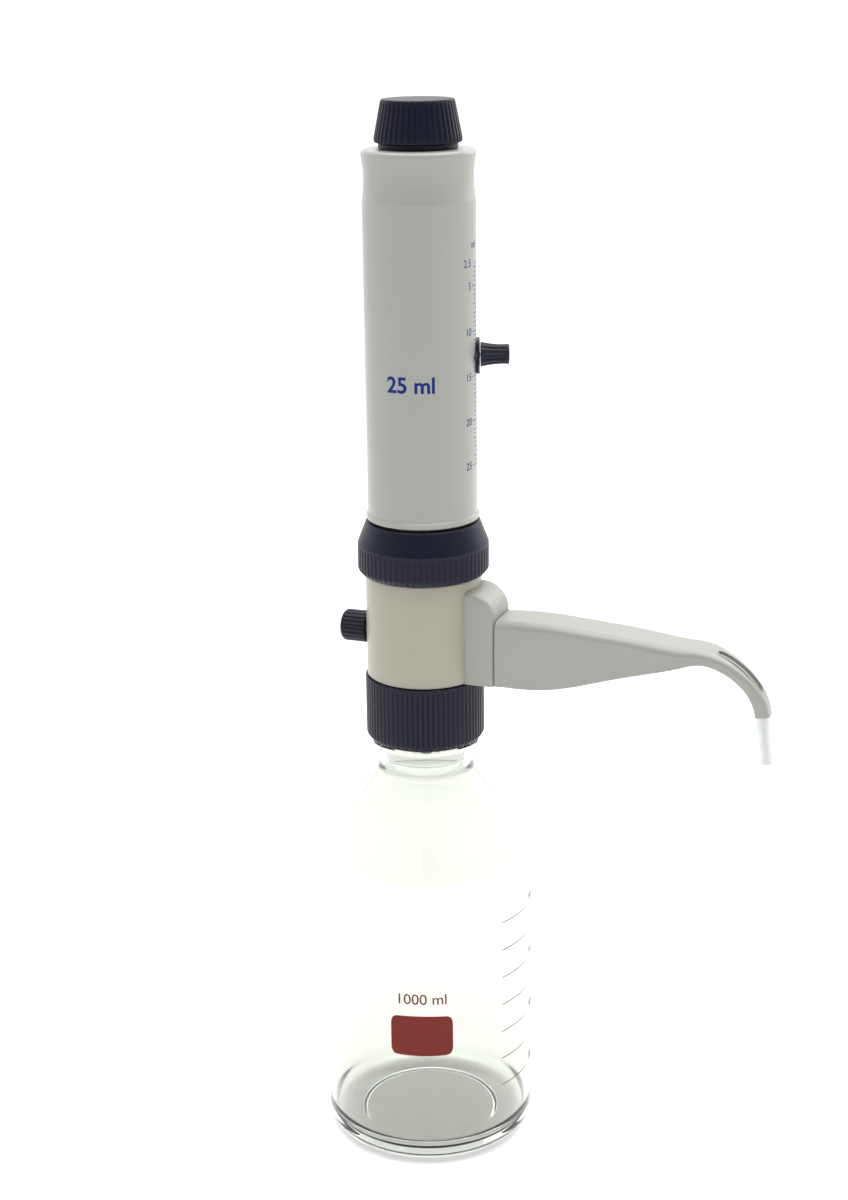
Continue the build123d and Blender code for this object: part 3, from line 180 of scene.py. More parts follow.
class ScaleSizes(bpy.types.PropertyGroup):
    millilitre: distance("Millilitre", "Height of one millilitre on the sleeve's scale", 4.0504)
    zero_height: distance("Zero height", "Height at which the scale would read nothing", 437.75)
    digit_height: distance("Digit height", "Height of the scale's digits", 3.4)
    capacity_height: distance("Capacity height", "Height of the capacity on the sleeve", 7.0)
    ink_thickness: distance("Ink thickness", "How far the print stands out of the surface", 0.04)


class BottleSizes(bpy.types.PropertyGroup):
    line_step: distance("Line step", "Height between two lines of the bottle's scale", 14.3)
    lowest_line: distance("Lowest line", "Height of the lowest line", 35.6)
    field_width: distance("Field width", "Width of the writing field", 29.7)
    field_height: distance("Field height", "Height of the writing field", 20.2)
    thread_pitch: distance("Thread pitch", "Pitch of the neck's thread", 4.0)


class Wiring:
    """Short calls for nodes whose inputs are values or other nodes' sockets."""

    def __init__(self, tree):
        self.tree = tree

    def node(self, kind, **settings):
        made = self.tree.nodes.new(kind)
        for key, value in settings.items():
            setattr(made, key, value)
        return made

    def put(self, socket, value):
        if isinstance(value, bpy.types.NodeSocket):
            self.tree.links.new(value, socket)
        else:
            socket.default_value = value

    def made(self, kind, inputs, **settings):
        """The first output of a new node with the given inputs."""
        node = self.node(kind, **settings)
        for key, value in inputs.items():
            self.put(node.inputs[key], value)
        return node.outputs[0]

    def maths(self, operation, *values):
        return self.made("ShaderNodeMath", dict(enumerate(values)), operation=operation)

    def vector(self, x=0.0, y=0.0, z=0.0):
        return self.made("ShaderNodeCombineXYZ", {"X": x, "Y": y, "Z": z})

    def parts(self, vector):
        """The x, y and z of a vector."""
        split = self.node("ShaderNodeSeparateXYZ")
        self.put(split.inputs[0], vector)
        return split.outputs

    def ramp(self, value, start, end, low, high):
        """Smoothly from low at start to high at end."""
        inputs = {"Value": value, "From Min": start, "From Max": end, "To Min": low, "To Max": high}
        return self.made("ShaderNodeMapRange", inputs, interpolation_type="SMOOTHSTEP")

    def noise(self, scale, detail):
        """A noise in the object's own coordinates."""
        place = self.node("ShaderNodeTexCoord").outputs["Object"]
        return self.made("ShaderNodeTexNoise", {"Vector": place, "Scale": scale, "Detail": detail})

    def group(self, maker, name):
        """A node of a shared shader group, which is made when it is first used."""
        return self.node("ShaderNodeGroup", node_tree=bpy.data.node_groups.get(name) or maker(name))

    def relief(self, shader, height, strength, depth):
        """Bumps a shader's normal by a height, whose full depth is in millimetres."""
        inputs = {"Height": height, "Strength": strength, "Distance": depth * MM}
        self.put(shader.inputs["Normal"], self.made("ShaderNodeBump", inputs))

    def finish(self, geometry, material, end):
        """Ends a geometry tree in Realize Instances and Set Material."""
        real = self.made("GeometryNodeRealizeInstances", {"Geometry": geometry})
        painted = self.made("GeometryNodeSetMaterial", {"Geometry": real, "Material": material})
        self.put(end["Geometry"], painted)


def node_group(name, kind, inputs, outputs):
    """An empty node group: its wiring, the sockets of its inputs and those of its outputs."""
    group = bpy.data.node_groups.new(name, kind)
    for label, socket, default in inputs:
        made = group.interface.new_socket(label, in_out="INPUT", socket_type="NodeSocket" + socket)
        if default is not None:
            made.default_value = default
    for label, socket in outputs:
        group.interface.new_socket(label, in_out="OUTPUT", socket_type="NodeSocket" + socket)
    given = group.nodes.new("NodeGroupInput").outputs
    return Wiring(group), given, group.nodes.new("NodeGroupOutput").inputs


# Shared shader groups

def moulded_surface(name):
    """Slow colour drift, fine speckle and an orange-peel height, for moulded plastics."""
    wire, value, end = node_group(
        name,
        "ShaderNodeTree",
        [
            ("Colour", "Color", (0.5, 0.5, 0.5, 1.0)), ("Roughness", "Float", 0.4), ("Drift", "Float", 0.05),
            ("Drift Scale", "Float", 40.0), ("Grain Scale", "Float", 2500.0),
        ],
        [("Colour", "Color"), ("Roughness", "Float"), ("Height", "Float")],
    )
    swing = wire.maths("SUBTRACT", wire.noise(value["Drift Scale"], 3.0), 0.5)
    gain = wire.maths("MULTIPLY_ADD", swing, value["Drift"], 1.0)
    shade = wire.made("ShaderNodeVectorMath", {0: value["Colour"], "Scale": gain}, operation="SCALE")
    wire.put(end["Colour"], shade)
    wire.put(end["Roughness"], wire.maths("MULTIPLY", value["Roughness"], gain))
    wire.put(end["Height"], wire.noise(value["Grain Scale"], 2.0))
    return wire.tree


def turned_marks(name):
    """Fine rings across Z, as a lathe leaves them on metal and fluoropolymer."""
    wire, value, end = node_group(
        name,
        "ShaderNodeTree",
        [("Pitch Scale", "Float", 1500.0), ("Wander", "Float", 2.0)],
        [("Height", "Float")],
    )
    rings = wire.node("ShaderNodeTexWave", bands_direction="Z")
    wire.put(rings.inputs["Vector"], wire.node("ShaderNodeTexCoord").outputs["Object"])
    wire.put(rings.inputs["Scale"], value["Pitch Scale"])
    wire.put(rings.inputs["Distortion"], value["Wander"])
    wire.put(end["Height"], rings.outputs["Fac"])
    return wire.tree


# Materials

def principled(name, **sockets):
    """A new material, its wiring and its Principled shader with some sockets set."""
    material = bpy.data.materials.new(name)
    material.use_nodes = True
    shader = material.node_tree.nodes["Principled BSDF"]
    for socket, value in sockets.items():
        shader.inputs[socket.replace("_", " ")].default_value = value
    return material, Wiring(material.node_tree), shader


def moulded(name, base, roughness, grain=2500.0, bump=0.08, drift=0.05, coat=0.0, **sockets):
    """A moulded plastic with the shared surface group."""
    material, wire, shader = principled(name, Coat_Weight=coat, Coat_Roughness=0.12, **sockets)
    surface = wire.group(moulded_surface, "Moulded surface")
    wire.put(surface.inputs["Colour"], (*base, 1.0))
    wire.put(surface.inputs["Roughness"], roughness)
    wire.put(surface.inputs["Drift"], drift)
    wire.put(surface.inputs["Grain Scale"], grain)
    wire.put(shader.inputs["Base Color"], surface.outputs["Colour"])
    wire.put(shader.inputs["Roughness"], surface.outputs["Roughness"])
    wire.relief(shader, surface.outputs["Height"], bump, 0.05)
    return material


def turned_material(name, base, roughness, metallic, bump):
    """A lathe-turned material with ring marks."""
    material, wire, shader = principled(
        name, Base_Color=(*base, 1.0), Metallic=metallic, Roughness=roughness
    )
    marks = wire.group(turned_marks, "Turned marks")
    wire.relief(shader, marks.outputs["Height"], bump, 0.02)
    return material


def clear_glass(name, tint, ripple):
    """Clear glass whose surface has a faint ripple."""
    material, wire, shader = principled(
        name, Base_Color=(*tint, 1.0), Roughness=0.0, IOR=1.47, Transmission_Weight=1.0
    )
    wire.relief(shader, wire.noise(28.0, 2.0), ripple, 0.4)
    return material


def ink(name, base):
    """Matt printed ink with uneven cover."""
    return moulded(name, base, 0.5, grain=6000.0, bump=0.03, drift=0.25, Specular_IOR_Level=0.2)


def named_material(name, maker, *args, **settings):
    """A material made once, then found by its name."""
    return bpy.data.materials.get(name) or maker(name, *args, **settings)


def navy():
    base = tuple(bpy.context.scene.plastic_colours.navy)
    return named_material(
        "Navy plastic", moulded, base, 0.38, bump=0.15, drift=0.15, Specular_IOR_Level=0.22
    )


def sleeve_plastic():
    base = tuple(bpy.context.scene.plastic_colours.sleeve)
    return named_material("Sleeve plastic", moulded, base, 0.30, bump=0.05, drift=0.04, coat=0.1)


def glass():
    return named_material("Bottle glass", clear_glass, (0.75, 0.762, 0.722), 0.04)


# Meshes

def mesh_piece(name, mesh, material, sharp=35.0):
    """An object for a finished mesh, shaded smooth up to a crease angle."""
    edit = bmesh.new()
    edit.from_mesh(mesh)
    for face in edit.faces:
        face.smooth = True
    for edge in edit.edges:
        edge.smooth = len(edge.link_faces) == 2 and edge.calc_face_angle(0.0) < radians(sharp)
    edit.to_mesh(mesh)
    edit.free()
    if not mesh.materials:
        mesh.materials.append(material)
    piece = bpy.data.objects.new(name, mesh)
    bpy.context.scene.collection.objects.link(piece)
    return piece


def closed_mesh(name, edit):
    """A new mesh of closed shells, with all faces outwards."""
    bmesh.ops.recalc_face_normals(edit, faces=edit.faces)
    mesh = bpy.data.meshes.new(name)
    edit.to_mesh(mesh)
    edit.free()
    return mesh


def evaluated_mesh(name, data, prepare=None):
    """The mesh that an object with the given data shows, once it is prepared."""
    holder = bpy.data.objects.new(name, data)
    bpy.context.scene.collection.objects.link(holder)
    if prepare:
        prepare(holder)
    graph = bpy.context.evaluated_depsgraph_get()
    mesh = bpy.data.meshes.new_from_object(holder.evaluated_get(graph), depsgraph=graph)
    bpy.data.objects.remove(holder)
    return mesh


def rounded(corners, steps=6):
    """A profile in which each (r, z, radius) corner is turned into an arc."""
    points = []
    for index, (r, z, radius) in enumerate(corners):
        here = Vector((r, z))
        if not radius or index in (0, len(corners) - 1):
            points.append((r, z))
            continue
        back = Vector(corners[index - 1][:2]) - here
        on = Vector(corners[index + 1][:2]) - here
        half = back.angle(on) / 2
        reach = min(radius / tan(half), SIDE_SHARE * back.length, SIDE_SHARE * on.length)
        true_radius = reach * tan(half)
        centre = here + (back.normalized() + on.normalized()).normalized() * (true_radius / sin(half))
        start = here + back.normalized() * reach - centre
        sweep = start.angle_signed(here + on.normalized() * reach - centre)
        for step in range(steps + 1):
            arm = start.copy()
            arm.rotate(Matrix.Rotation(-sweep * step / steps, 2))
            points.append(tuple(centre + arm))
    return points


def arc(centre, radius, start, end, steps):
    """Points of an arc in the (r, z) plane."""
    turns = [radians(start + (end - start) * step / steps) for step in range(steps + 1)]
    return [(centre[0] + radius * cos(turn), centre[1] + radius * sin(turn)) for turn in turns]


def divided(profile, step, closed=False):
    """The profile with its long runs divided, so that grooves can fade along them."""
    ends = profile[1:] + profile[:1] if closed else profile[1:]
    points = []
    for (r, z), (next_r, next_z) in zip(profile, ends):
        runs = max(1, int(hypot(next_r - r, next_z - z) / step))
        points += [(r + (next_r - r) * k / runs, z + (next_z - z) * k / runs) for k in range(runs)]
    return points if closed else points + profile[-1:]


def turned(name, profile, segments):
    """A closed mesh, turned about Z from an (r, z) outline in millimetres."""
    edit = bmesh.new()
    turns = [2 * pi * k / segments for k in range(segments)]
    loops = []
    for r, z in profile:
        if r < ON_AXIS:
            loops.append([edit.verts.new((0, 0, z * MM))] * segments)
        else:
            loops.append([edit.verts.new((r * MM * cos(t), r * MM * sin(t), z * MM)) for t in turns])
    closed = profile[0][0] > ON_AXIS
    for index in range(len(loops) if closed else len(loops) - 1):
        low = loops[index]
        high = loops[(index + 1) % len(loops)]
        for k in range(segments):
            after = (k + 1) % segments
            corners = list(dict.fromkeys([low[k], low[after], high[after], high[k]]))
            if len(corners) > 2:
                edit.faces.new(corners)
    bmesh.ops.remove_doubles(edit, verts=edit.verts, dist=WELD_METRES)
    return closed_mesh(name, edit)


def joined(name, meshes):
    """Several closed meshes as one."""
    edit = bmesh.new()
    for mesh in meshes:
        edit.from_mesh(mesh)
    return closed_mesh(name, edit)


def printed_text(name, body, height, radius, azimuth, z, thickness, align="CENTER", bold=0.0):
    """Raised text wrapped on an upright cylinder, in millimetres and degrees.

    It is sliced into narrow upright strips first, so that no flat face sinks into the cylinder.
    """
    curve = bpy.data.curves.new(name, "FONT")
    curve.body = body
    curve.size = height / CAPITAL_SHARE
    curve.align_x = align
    curve.align_y = "CENTER"
    curve.extrude = thickness / 2
    curve.offset = bold
    edit = bmesh.new()
    edit.from_mesh(evaluated_mesh(name, curve))
    bmesh.ops.remove_doubles(edit, verts=edit.verts, dist=TEXT_WELD)
    bmesh.ops.triangulate(edit, faces=edit.faces)
    left = min(vertex.co.x for vertex in edit.verts)
    right = max(vertex.co.x for vertex in edit.verts)
    for index in range(1, int((right - left) / TEXT_STRIP) + 1):
        bmesh.ops.bisect_plane(
            edit, geom=edit.verts[:] + edit.edges[:] + edit.faces[:], dist=CUT_WELD,
            plane_co=(left + index * TEXT_STRIP, 0, 0), plane_no=(1, 0, 0),
        )
    for vertex in edit.verts:
        u, v, w = vertex.co
        angle = radians(azimuth) + u / radius
        reach = (radius + w + thickness / 2) * MM
        vertex.co = (reach * cos(angle), reach * sin(angle), (z + v) * MM)
    return closed_mesh(name, edit)


# Geometry Nodes

def geometry_tree(name, inputs):
    """A Geometry Nodes tree that takes a geometry, some values and a material."""
    first, last = ("Geometry", "Geometry", None), ("Material", "Material", None)
    return node_group(name, "GeometryNodeTree", [first, *inputs, last], [("Geometry", "Geometry")])


def rib_tree(name):
    """Cuts upright grooves round a turned body, between two heights."""
    wire, value, end = geometry_tree(
        name,
        [
            ("Ribs", "Int", 60), ("Depth", "Float", 0.0005), ("Groove Share", "Float", 0.6),
            ("Low", "Float", 0.0), ("High", "Float", 1.0), ("Fade", "Float", 0.0005),
            ("Inner Radius", "Float", 0.0),
        ],
    )
    maths = wire.maths
    x, y, z = wire.parts(wire.node("GeometryNodeInputPosition").outputs[0])
    turn = maths("MULTIPLY", maths("ARCTAN2", y, x), maths("DIVIDE", value["Ribs"], 2 * pi))
    across = maths("MULTIPLY", maths("ABSOLUTE", maths("SUBTRACT", maths("FRACT", turn), 0.5)), 2.0)
    groove = wire.ramp(across, 0.0, value["Groove Share"], 1.0, 0.0)
    above = wire.ramp(z, maths("SUBTRACT", value["Low"], value["Fade"]), value["Low"], 0.0, 1.0)
    below = wire.ramp(z, value["High"], maths("ADD", value["High"], value["Fade"]), 1.0, 0.0)
    radius = maths("SQRT", maths("ADD", maths("MULTIPLY", x, x), maths("MULTIPLY", y, y)))
    outside = maths("GREATER_THAN", radius, value["Inner Radius"])
    cut = maths("MULTIPLY", maths("MULTIPLY", groove, above), maths("MULTIPLY", below, outside))
    depth = maths("MULTIPLY", cut, value["Depth"])
    share = maths("DIVIDE", depth, maths("MAXIMUM", radius, LEAST_RADIUS_METRES))
    back = maths("MULTIPLY", share, -1.0)
    inward = wire.vector(maths("MULTIPLY", x, back), maths("MULTIPLY", y, back))
    grooved = wire.made("GeometryNodeSetPosition", {"Geometry": value["Geometry"], "Offset": inward})
    wire.finish(grooved, value["Material"], end)
    return wire.tree


def scale_tree(name):
    """Printed strokes up a cylinder: short, middle and long ones that end on one line."""
    wire, value, end = geometry_tree(
        name,
        [
            ("Count", "Int", 10), ("Step", "Float", 0.002), ("First Height", "Float", 0.0),
            ("Radius", "Float", 0.02), ("End Angle", "Float", 0.0), ("Short", "Float", 0.002),
            ("Middle", "Float", 0.003), ("Long", "Float", 0.005), ("Middle Every", "Int", 2),
            ("Long Every", "Int", 10), ("Stroke", "Float", 0.0003), ("Ink", "Float", 0.00004),
        ],
    )
    maths = wire.maths
    start = wire.vector(z=value["First Height"])
    rise = wire.vector(z=value["Step"])
    line = wire.made(
        "GeometryNodeMeshLine", {"Count": value["Count"], "Start Location": start, "Offset": rise}
    )
    bar = wire.made("GeometryNodeMeshCube", {"Vertices X": 14})
    bar = wire.made("GeometryNodeTransform", {"Geometry": bar, "Translation": (-0.5, 0.5, 0.0)})
    index = wire.node("GeometryNodeInputIndex").outputs[0]

    def length(every, longer, other):
        on = maths("LESS_THAN", maths("MODULO", index, value[every]), 0.5)
        return wire.made("ShaderNodeMix", {0: on, 2: other, 3: longer}, data_type="FLOAT")

    reach = length("Long Every", value["Long"], length("Middle Every", value["Middle"], value["Short"]))
    size = wire.vector(reach, value["Ink"], value["Stroke"])
    strokes = wire.made("GeometryNodeInstanceOnPoints", {"Points": line, "Instance": bar, "Scale": size})
    flat = wire.made("GeometryNodeRealizeInstances", {"Geometry": strokes})
    u, w, z = wire.parts(wire.node("GeometryNodeInputPosition").outputs[0])
    angle = maths("ADD", value["End Angle"], maths("DIVIDE", u, value["Radius"]))
    radius = maths("ADD", value["Radius"], w)
    bent = wire.vector(
        maths("MULTIPLY", radius, maths("COSINE", angle)), maths("MULTIPLY", radius, maths("SINE", angle)), z
    )
    wrapped = wire.made("GeometryNodeSetPosition", {"Geometry": flat, "Position": bent})
    wire.finish(wrapped, value["Material"], end)
    return wire.tree


def thread_tree(name):
    """A rounded thread that winds round a neck and runs out at both ends."""
    wire, value, end = geometry_tree(
        name,
        [
            ("Radius", "Float", 0.02), ("Foot Height", "Float", 0.0), ("Pitch", "Float", 0.004),
            ("Turns", "Float", 2.5), ("Crest", "Float", 0.001),
        ],
    )
    spiral = wire.made(
        "GeometryNodeCurveSpiral",
        {
            "Resolution": 64, "Rotations": value["Turns"], "Start Radius": value["Radius"],
            "End Radius": value["Radius"], "Height": wire.maths("MULTIPLY", value["Turns"], value["Pitch"]),
        },
    )
    foot = wire.vector(z=value["Foot Height"])
    path = wire.made("GeometryNodeTransform", {"Geometry": spiral, "Translation": foot})
    share = wire.node("GeometryNodeSplineParameter").outputs["Factor"]
    rise = wire.ramp(share, 0.0, RUN_OUT, RUN_OUT_SIZE, 1.0)
    fall = wire.ramp(share, 1.0 - RUN_OUT, 1.0, 1.0, RUN_OUT_SIZE)
    ring = wire.made("GeometryNodeCurvePrimitiveCircle", {"Resolution": 12, "Radius": value["Crest"]})
    tube = wire.made(
        "GeometryNodeCurveToMesh",
        {
            "Curve": path, "Profile Curve": ring, "Scale": wire.maths("MULTIPLY", rise, fall),
            "Fill Caps": True,
        },
    )
    wire.finish(tube, value["Material"], end)
    return wire.tree


def grown(mesh, maker, values):
    """The mesh that a Geometry Nodes tree makes of the given one."""
    name = maker.__name__
    tree = bpy.data.node_groups.get(name) or maker(name)

    def prepare(holder):
        modifier = holder.modifiers.new("Shape", "NODES")
        modifier.node_group = tree
        for item in tree.interface.items_tree:
            if item.in_out == "INPUT" and item.name in values:
                modifier[item.identifier] = values[item.name]

    result = evaluated_mesh(mesh.name, mesh, prepare)
    if not result.polygons:
        raise RuntimeError(name + " made no faces")
    return result


def ribbed(name, profile, ribs, depth, low, high, inner, share=0.62, fade=0.5, cuts=12):
    """A turned navy body with ribs round it between two heights, all sizes in millimetres."""
    values = {
        "Ribs": ribs, "Depth": depth * MM, "Groove Share": share, "Low": low * MM, "High": high * MM,
        "Fade": fade * MM, "Inner Radius": inner * MM, "Material": navy(),
    }
    return grown(turned(name, profile, ribs * cuts), rib_tree, values)


# Pieces

def replace_nodes(piece, body, slot, *nodes):
    """The piece rides on a body and stands for its CAD nodes."""
    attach(piece, body)
    if nodes:
        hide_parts(*nodes)


def ribbed_piece(name, mesh, body, node):
    """A ribbed mesh as the piece that stands for its CAD node."""
    replace_nodes(mesh_piece(name, mesh, navy(), RIBBED_CREASE), body, "navy_plastic", node)


class DISPENSER_OT_finishes(bpy.types.Operator):
    """Gives every CAD piece that stays in view its own material"""

    bl_idname = "dispenser.finishes"
    bl_label = "Finish the solids"

    def execute(self, context):
        colours = context.scene.plastic_colours
        pale_tube = (0.80, 0.82, 0.81)
        pale_nozzle = (0.82, 0.84, 0.82)
        made = {
            "clear_glass": glass(),
            "navy_plastic": navy(),
            "white_plastic": sleeve_plastic(),
            "housing_plastic": moulded("Arm plastic", tuple(colours.arm), 0.36, bump=0.10, drift=0.04),
            "block_plastic": moulded("Block plastic", tuple(colours.block), 0.34, bump=0.08, drift=0.06),
            "ptfe": turned_material("Fluoropolymer", (0.78, 0.78, 0.75), 0.42, 0.0, 0.15),
            "tube_plastic": moulded("Tube plastic", pale_tube, 0.22, Transmission_Weight=0.5),
            "nozzle_plastic": moulded(
                "Nozzle plastic", pale_nozzle, 0.32, bump=0.05, Transmission_Weight=0.55
            ),
            "rubber": moulded("Seal rubber", (0.018, 0.018, 0.019), 0.62, bump=0.3),
            "steel": turned_material("Turned steel", (0.56, 0.57, 0.58), 0.26, 1.0, 0.35),
            "ceramic": moulded("Ground ceramic", (0.83, 0.82, 0.77), 0.12, bump=0.0),
        }
        slots = {entry["node"]: entry["material_slot"] for entry in frame["record"]["subparts"]}
        for name, node in frame["nodes"].items():
            node.data.materials.clear()
            node.data.materials.append(made[slots[name]])
        return {"FINISHED"}


class DISPENSER_OT_bottle(bpy.types.Operator):
    """Blows the reagent bottle in clear glass, with its neck thread"""

    bl_idname = "dispenser.bottle"
    bl_label = "Make the bottle"

    def execute(self, context):
        outside = [(0, BASE_RISE), (20, BASE_RISE)]
        outside += rounded([(28, BASE_RISE, 0), (31.6, BASE_RISE, 4), (33.6, 0.4, 1.5), (35.5, 0, 0)], 5)
        outside += arc((BOTTLE_RADIUS - HEEL_RADIUS, HEEL_RADIUS), HEEL_RADIUS, -90, 0, 14)
        outside += self.shoulder(BOTTLE_RADIUS, 6.0, NECK_RADIUS)
        foot = outside[-1][1]
        neck = [
            (NECK_RADIUS, foot, 0), (NECK_RADIUS, foot + 5.4, 1.6), (BEAD_RADIUS, foot + 10.4, 1.6),
            (BEAD_RADIUS, foot + 12.0, 1.0), (RIM_RADIUS, foot + 13.2, 1.0), (RIM_RADIUS, BOTTLE_HEIGHT, 1.6),
            (NECK_BORE, BOTTLE_HEIGHT, 1.6), (NECK_BORE, foot + 3.0, 0),
        ]
        outside += rounded(neck, 5)[1:]
        inner_radius = 47.9
        inner_heel = 8.2
        inside = self.shoulder(inner_radius, 8.6, NECK_BORE)[::-1]
        inside += arc((inner_radius - inner_heel, 15.6), inner_heel, 0, -90, 12) + [(20, 7.9), (0, 8.1)]
        mesh = turned("bottle_glass", outside + inside, 192)
        piece = mesh_piece("bottle_glass", mesh, glass(), GLASS_CREASE)
        replace_nodes(piece, "bottle", "clear_glass", "reagent_bottle")
        values = {
            "Radius": THREAD_RADIUS * MM, "Foot Height": THREAD_FOOT * MM, "Turns": THREAD_TURNS,
            "Crest": THREAD_CREST * MM,
            "Pitch": context.scene.bottle_sizes.thread_pitch * MM, "Material": glass(),
        }
        thread = grown(bpy.data.meshes.new("neck_thread"), thread_tree, values)
        replace_nodes(mesh_piece("neck_thread", thread, glass()), "bottle", "clear_glass")
        return {"FINISHED"}

    def shoulder(self, radius, foot_radius, bore):
        """From the wall over the shoulder's slope into an upright neck."""
        end = arc(SHOULDER_CENTRE, radius - SHOULDER_CENTRE[0], 0, SHOULDER_SLOPE, 18)
        slope = radians(SHOULDER_SLOPE)
        run = (end[-1][0] - bore - foot_radius * (1 - cos(slope))) / sin(slope)
        foot = (bore + foot_radius, end[-1][1] + run * cos(slope) + foot_radius * sin(slope))
        return end + arc(foot, foot_radius, 180 + SHOULDER_SLOPE, 180, 10)


class DISPENSER_OT_bottle_print(bpy.types.Operator):
    """Prints the bottle's capacity, its writing field and its volume lines"""

    bl_idname = "dispenser.bottle_print"
    bl_label = "Print the bottle"

    def execute(self, context):
        sizes = context.scene.bottle_sizes
        thickness = context.scene.scale_sizes.ink_thickness
        brown = ink("Brown ink", tuple(context.scene.plastic_colours.brown_ink))
        capacity = printed_text(
            "capacity", "1000 ml", BOTTLE_CAPACITY_HEIGHT, BOTTLE_RADIUS, FIELD_AZIMUTH,
            BOTTLE_CAPACITY_MIDDLE, thickness, bold=0.05,
        )
        labels = []
        for k in range(0, BOTTLE_LINES, 2):
            volume = str(LOWEST_LINE_VOLUME + k * LINE_VOLUME)
            middle = sizes.lowest_line + k * sizes.line_step + LABEL_RISE
            label = printed_text(
                "label", volume, LABEL_HEIGHT, BOTTLE_RADIUS, LABEL_AZIMUTH, middle, thickness
            )
            labels.append(label)
        values = {
            "Count": BOTTLE_LINES, "Step": sizes.line_step * MM, "First Height": sizes.lowest_line * MM,
            "Radius": BOTTLE_RADIUS * MM, "End Angle": radians(LINE_END), "Short": LINE_LENGTH * MM,
            "Middle": LINE_LENGTH * MM, "Long": LINE_LENGTH * MM, "Middle Every": 1, "Long Every": 1,
            "Stroke": LINE_STROKE * MM, "Ink": thickness * MM, "Material": brown,
        }
        lines = grown(bpy.data.meshes.new("bottle_lines"), scale_tree, values)
        whole = joined("bottle_print", [capacity, self.field(sizes, thickness), lines, *labels])
        replace_nodes(mesh_piece("bottle_print", whole, brown), "bottle", "clear_glass")
        return {"FINISHED"}

    def field(self, sizes, thickness):
        """The writing field: a bent plate with round corners and gently bowed sides."""
        columns = 48
        half = sizes.field_width / 2
        edit = bmesh.new()
        rows = []
        for k in range(columns + 1):
            u = -half + 2 * half * k / columns
            inset = max(0.0, abs(u) - (half - FIELD_CORNER))
            drop = FIELD_CORNER - sqrt(max(FIELD_CORNER * FIELD_CORNER - inset * inset, 0.0))
            tall = sizes.field_height / 2 - drop + FIELD_BOW * (1 - (u / half) ** 2)
            turn = radians(FIELD_AZIMUTH) + u / BOTTLE_RADIUS
            rows.append(
                [
                    edit.verts.new((r * MM * cos(turn), r * MM * sin(turn), z * MM))
                    for r in (BOTTLE_RADIUS, BOTTLE_RADIUS + thickness)
                    for z in (FIELD_MIDDLE - tall, FIELD_MIDDLE + tall)
                ]
            )
        for low, high in zip(rows, rows[1:]):
            for a, b in ((0, 1), (1, 3), (3, 2), (2, 0)):
                edit.faces.new((low[a], low[b], high[b], high[a]))
        for end in (rows[0], rows[-1]):
            edit.faces.new((end[0], end[1], end[3], end[2]))
        return closed_mesh("field", edit)


class DISPENSER_OT_rings(bpy.types.Operator):
    """Turns and ribs the neck collar and the clamp nut"""

    bl_idname = "dispenser.rings"
    bl_label = "Make the collar and nut"

    def execute(self, context):
        sizes = context.scene.rib_sizes
        self.collar(sizes.collar_ribs, sizes.groove_depth)
        self.nut(sizes.nut_ribs, sizes.groove_depth)
        return {"FINISHED"}

    def collar(self, ribs, depth):
        low, high = node_box("threaded_collar")
        bottom, top = low.z, high.z
        lid = top - 5.2
        outline = [
            (22.8, bottom, 0), (26.2, bottom, 1.2), (27.9, bottom + 2.4, 1.8), (27.9, top, 0.5),
            (18.8, top, 0.3), (18.8, lid, 0), (22.8, lid, 0),
        ]
        profile = divided(rounded(outline), 1.2, closed=True)
        mesh = ribbed("collar_ribs", profile, ribs, depth, bottom + 1.6, top - 0.7, 25.5)
        ribbed_piece("collar_ribs", mesh, "collar", "threaded_collar")

    def nut(self, ribs, depth):
        low, high = node_box("clamp_nut")
        bottom, top = low.z, high.z
        lid = top - 5.2
        outline = [
            (25.6, bottom, 0.4), (28.6, bottom, 1.2), (30.4, bottom + 2.2, 1.6), (30.4, top - 10.5, 1.1),
            (26.3, top, 0.9), (21.9, top, 0.4), (21.9, lid, 0), (25.6, lid, 0),
        ]
        profile = divided(rounded(outline), 1.2, closed=True)
        mesh = ribbed("clamp_nut_ribs", profile, ribs, depth, bottom + 1.8, top - 11.3, 27.4, fade=0.6)
        ribbed_piece("clamp_nut_ribs", mesh, "clamp_ring", "clamp_nut")


